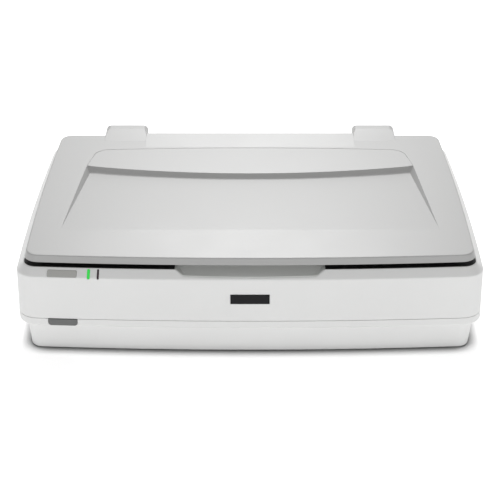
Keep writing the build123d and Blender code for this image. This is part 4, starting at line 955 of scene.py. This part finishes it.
@dataclass
class LampLeds:
    """Rows of small lamps set under the carriage's two light bars."""

    pitch: float = 8 * MM
    size: tuple[float, float, float] = (2.4 * MM, 3.2 * MM, 0.7 * MM)

    def build(self, paint: Paintbox, trees: Callable[[], Repeater]) -> list[bpy.types.Object]:
        """Build one row for each bar.

        Args:
            paint: the finishes.
            trees: makes the line tree.

        Returns:
            The rows.
        """
        low, high = (Vector(c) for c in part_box("lamp_reflectors"))
        bars_low, bars_high = (Vector(c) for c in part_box("lamp_bars"))
        rows = []
        tree = trees()
        for name, x in (("left", bars_low.x - 2.2 * MM), ("right", bars_high.x + 2.2 * MM)):
            chip = bmesh.new()
            half = [s / 2 for s in self.size]
            add_box(chip, [-h for h in half], half, 0.2 * MM, 1)
            shape = object_from("led_" + name, chip)
            host = bpy.data.objects.new("led_host_" + name, bpy.data.meshes.new("led_host_" + name))
            bpy.context.scene.collection.objects.link(host)
            count = int((high.y - low.y - 16 * MM) / self.pitch)
            start = ((low.y + high.y) - self.pitch * (count - 1)) / 2
            row = tree.run(host, {"Shape": shape, "Start": (x, start, low.z + 0.8 * MM + half[2]),
                                  "Step": (0.0, self.pitch, 0.0), "Count": count,
                                  "Finish": paint.material(Finish.LAMP)}, "lamp_leds_" + name)
            bpy.data.objects.remove(shape)
            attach(row, "carriage")
            rows.append(row)
        return rows


# ------------------------------------------------------------------ studio
@dataclass
class Studio:
    """Pale floor, a bright room, a wide sun and a softbox behind, and the camera."""

    camera_at: tuple[float, float, float] = (0.0, -2.27508, 1.22340)
    camera_down: float = 27.31
    lens: float = 120.84
    floor_half: float = 9.0
    sky: float = 0.64
    sky_low: float = 1.0
    sky_back: float = 0.02
    sky_side: float = 0.95
    sky_rise: float = 1.6
    aim_at: tuple[float, float, float] = (0.0, 0.0, 0.12)
    box_at: tuple[float, float, float] = (0.0, 2.2, 1.98)
    box_size: tuple[float, float] = (0.9, 0.7)
    box_power: float = 46.0
    sun_from: tuple[float, float, float] = (0.0, 0.9, 2.4)
    sun_power: float = 0.25
    sun_spread: float = 40.0

    def build(self) -> None:
        """Set the whole studio up."""
        self.lay_floor()
        self.light_sky()
        self.hang_lights()
        self.stand_camera()
        bpy.context.scene.view_settings.view_transform = "Standard"

    def lay_floor(self) -> None:
        """Lay the floor at the height of the table."""
        mesh = bmesh.new()
        bmesh.ops.create_grid(mesh, x_segments=8, y_segments=8, size=self.floor_half)
        floor = object_from("floor", mesh)
        floor.data.materials.append(PaleFloor().make())

    def light_sky(self) -> None:
        """Light the room: brighter low down and a little towards the back, darker at the sides."""
        bench = Bench("room", "worlds")
        way = bench.node("SeparateXYZ", {}, {0: bench.out(bench.node("TexCoord"), "Generated")})
        side, back, height = (bench.out(way, axis) for axis in "XYZ")
        low = (1.0 - height * self.sky_rise).at_least(0.0) ** 2.0
        level = self.sky + low * self.sky_low + back.at_least(0.0) * self.sky_back
        level = level - side * side * self.sky_side
        shine = bench.node("Background", {}, {"Color": (1.0, 1.0, 1.0), "Strength": level})
        bench.node("OutputWorld", {}, {"Surface": bench.out(shine)})
        bpy.context.scene.world = bench.owner

    def hang_lights(self) -> None:
        """Hang a wide sun above, and a softbox over the back."""
        sun = bpy.data.lights.new("overhead", "SUN")
        sun.energy = self.sun_power
        sun.angle = math.radians(self.sun_spread)
        self.aim("overhead", sun, self.sun_from, (0.0, 0.0, 0.0))
        box = bpy.data.lights.new("softbox", "AREA")
        box.shape = "RECTANGLE"
        box.size, box.size_y = self.box_size
        box.energy = self.box_power
        self.aim("softbox", box, self.box_at, self.aim_at)

    def aim(self, name: str, data: bpy.types.Light, at: Sequence[float], towards: Sequence[float]) -> None:
        """Hang a light and point it.

        Args:
            name: its name.
            data: the light.
            at: where it hangs.
            towards: the point it shines on.
        """
        lamp = bpy.data.objects.new(name, data)
        lamp.location = at
        lamp.rotation_euler = (Vector(towards) - Vector(at)).to_track_quat("-Z", "Y").to_euler()
        bpy.context.scene.collection.objects.link(lamp)

    def stand_camera(self) -> None:
        """Stand the camera in front of the scanner, looking down at it."""
        data = bpy.data.cameras.new("camera")
        data.lens = self.lens
        data.sensor_width = 36.0
        camera = bpy.data.objects.new("camera", data)
        camera.location = self.camera_at
        camera.rotation_euler = (math.radians(90 - self.camera_down), 0.0, 0.0)
        bpy.context.scene.collection.objects.link(camera)
        bpy.context.scene.camera = camera


def main() -> None:
    """Load the frame, dress it, add the finer pieces and the studio."""
    logging.basicConfig(level=logging.INFO)
    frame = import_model()
    paint = Paintbox()
    paint.dress_frame(frame)
    belts = belt_repeater()
    pieces = [
        DocumentMat().build(paint),
        ToothedBelt("drive_belt", "idler_pulley", "drive_pulley", 8 * MM, 8 * MM).build(paint, belts),
        ToothedBelt("reduction_belt", "drive_pulley", "motor_pulley", 22 * MM, 6 * MM,
                    thickness=0.7 * MM, tooth=0.5 * MM, pitch=2.5 * MM).build(paint, belts),
        RubberFeet().build(paint),
        *LampLeds().build(paint, line_repeater),
    ]
    for piece in pieces:
        log.info("built %s", piece.name)
    Studio().build()


if __name__ == "__main__":
    main()
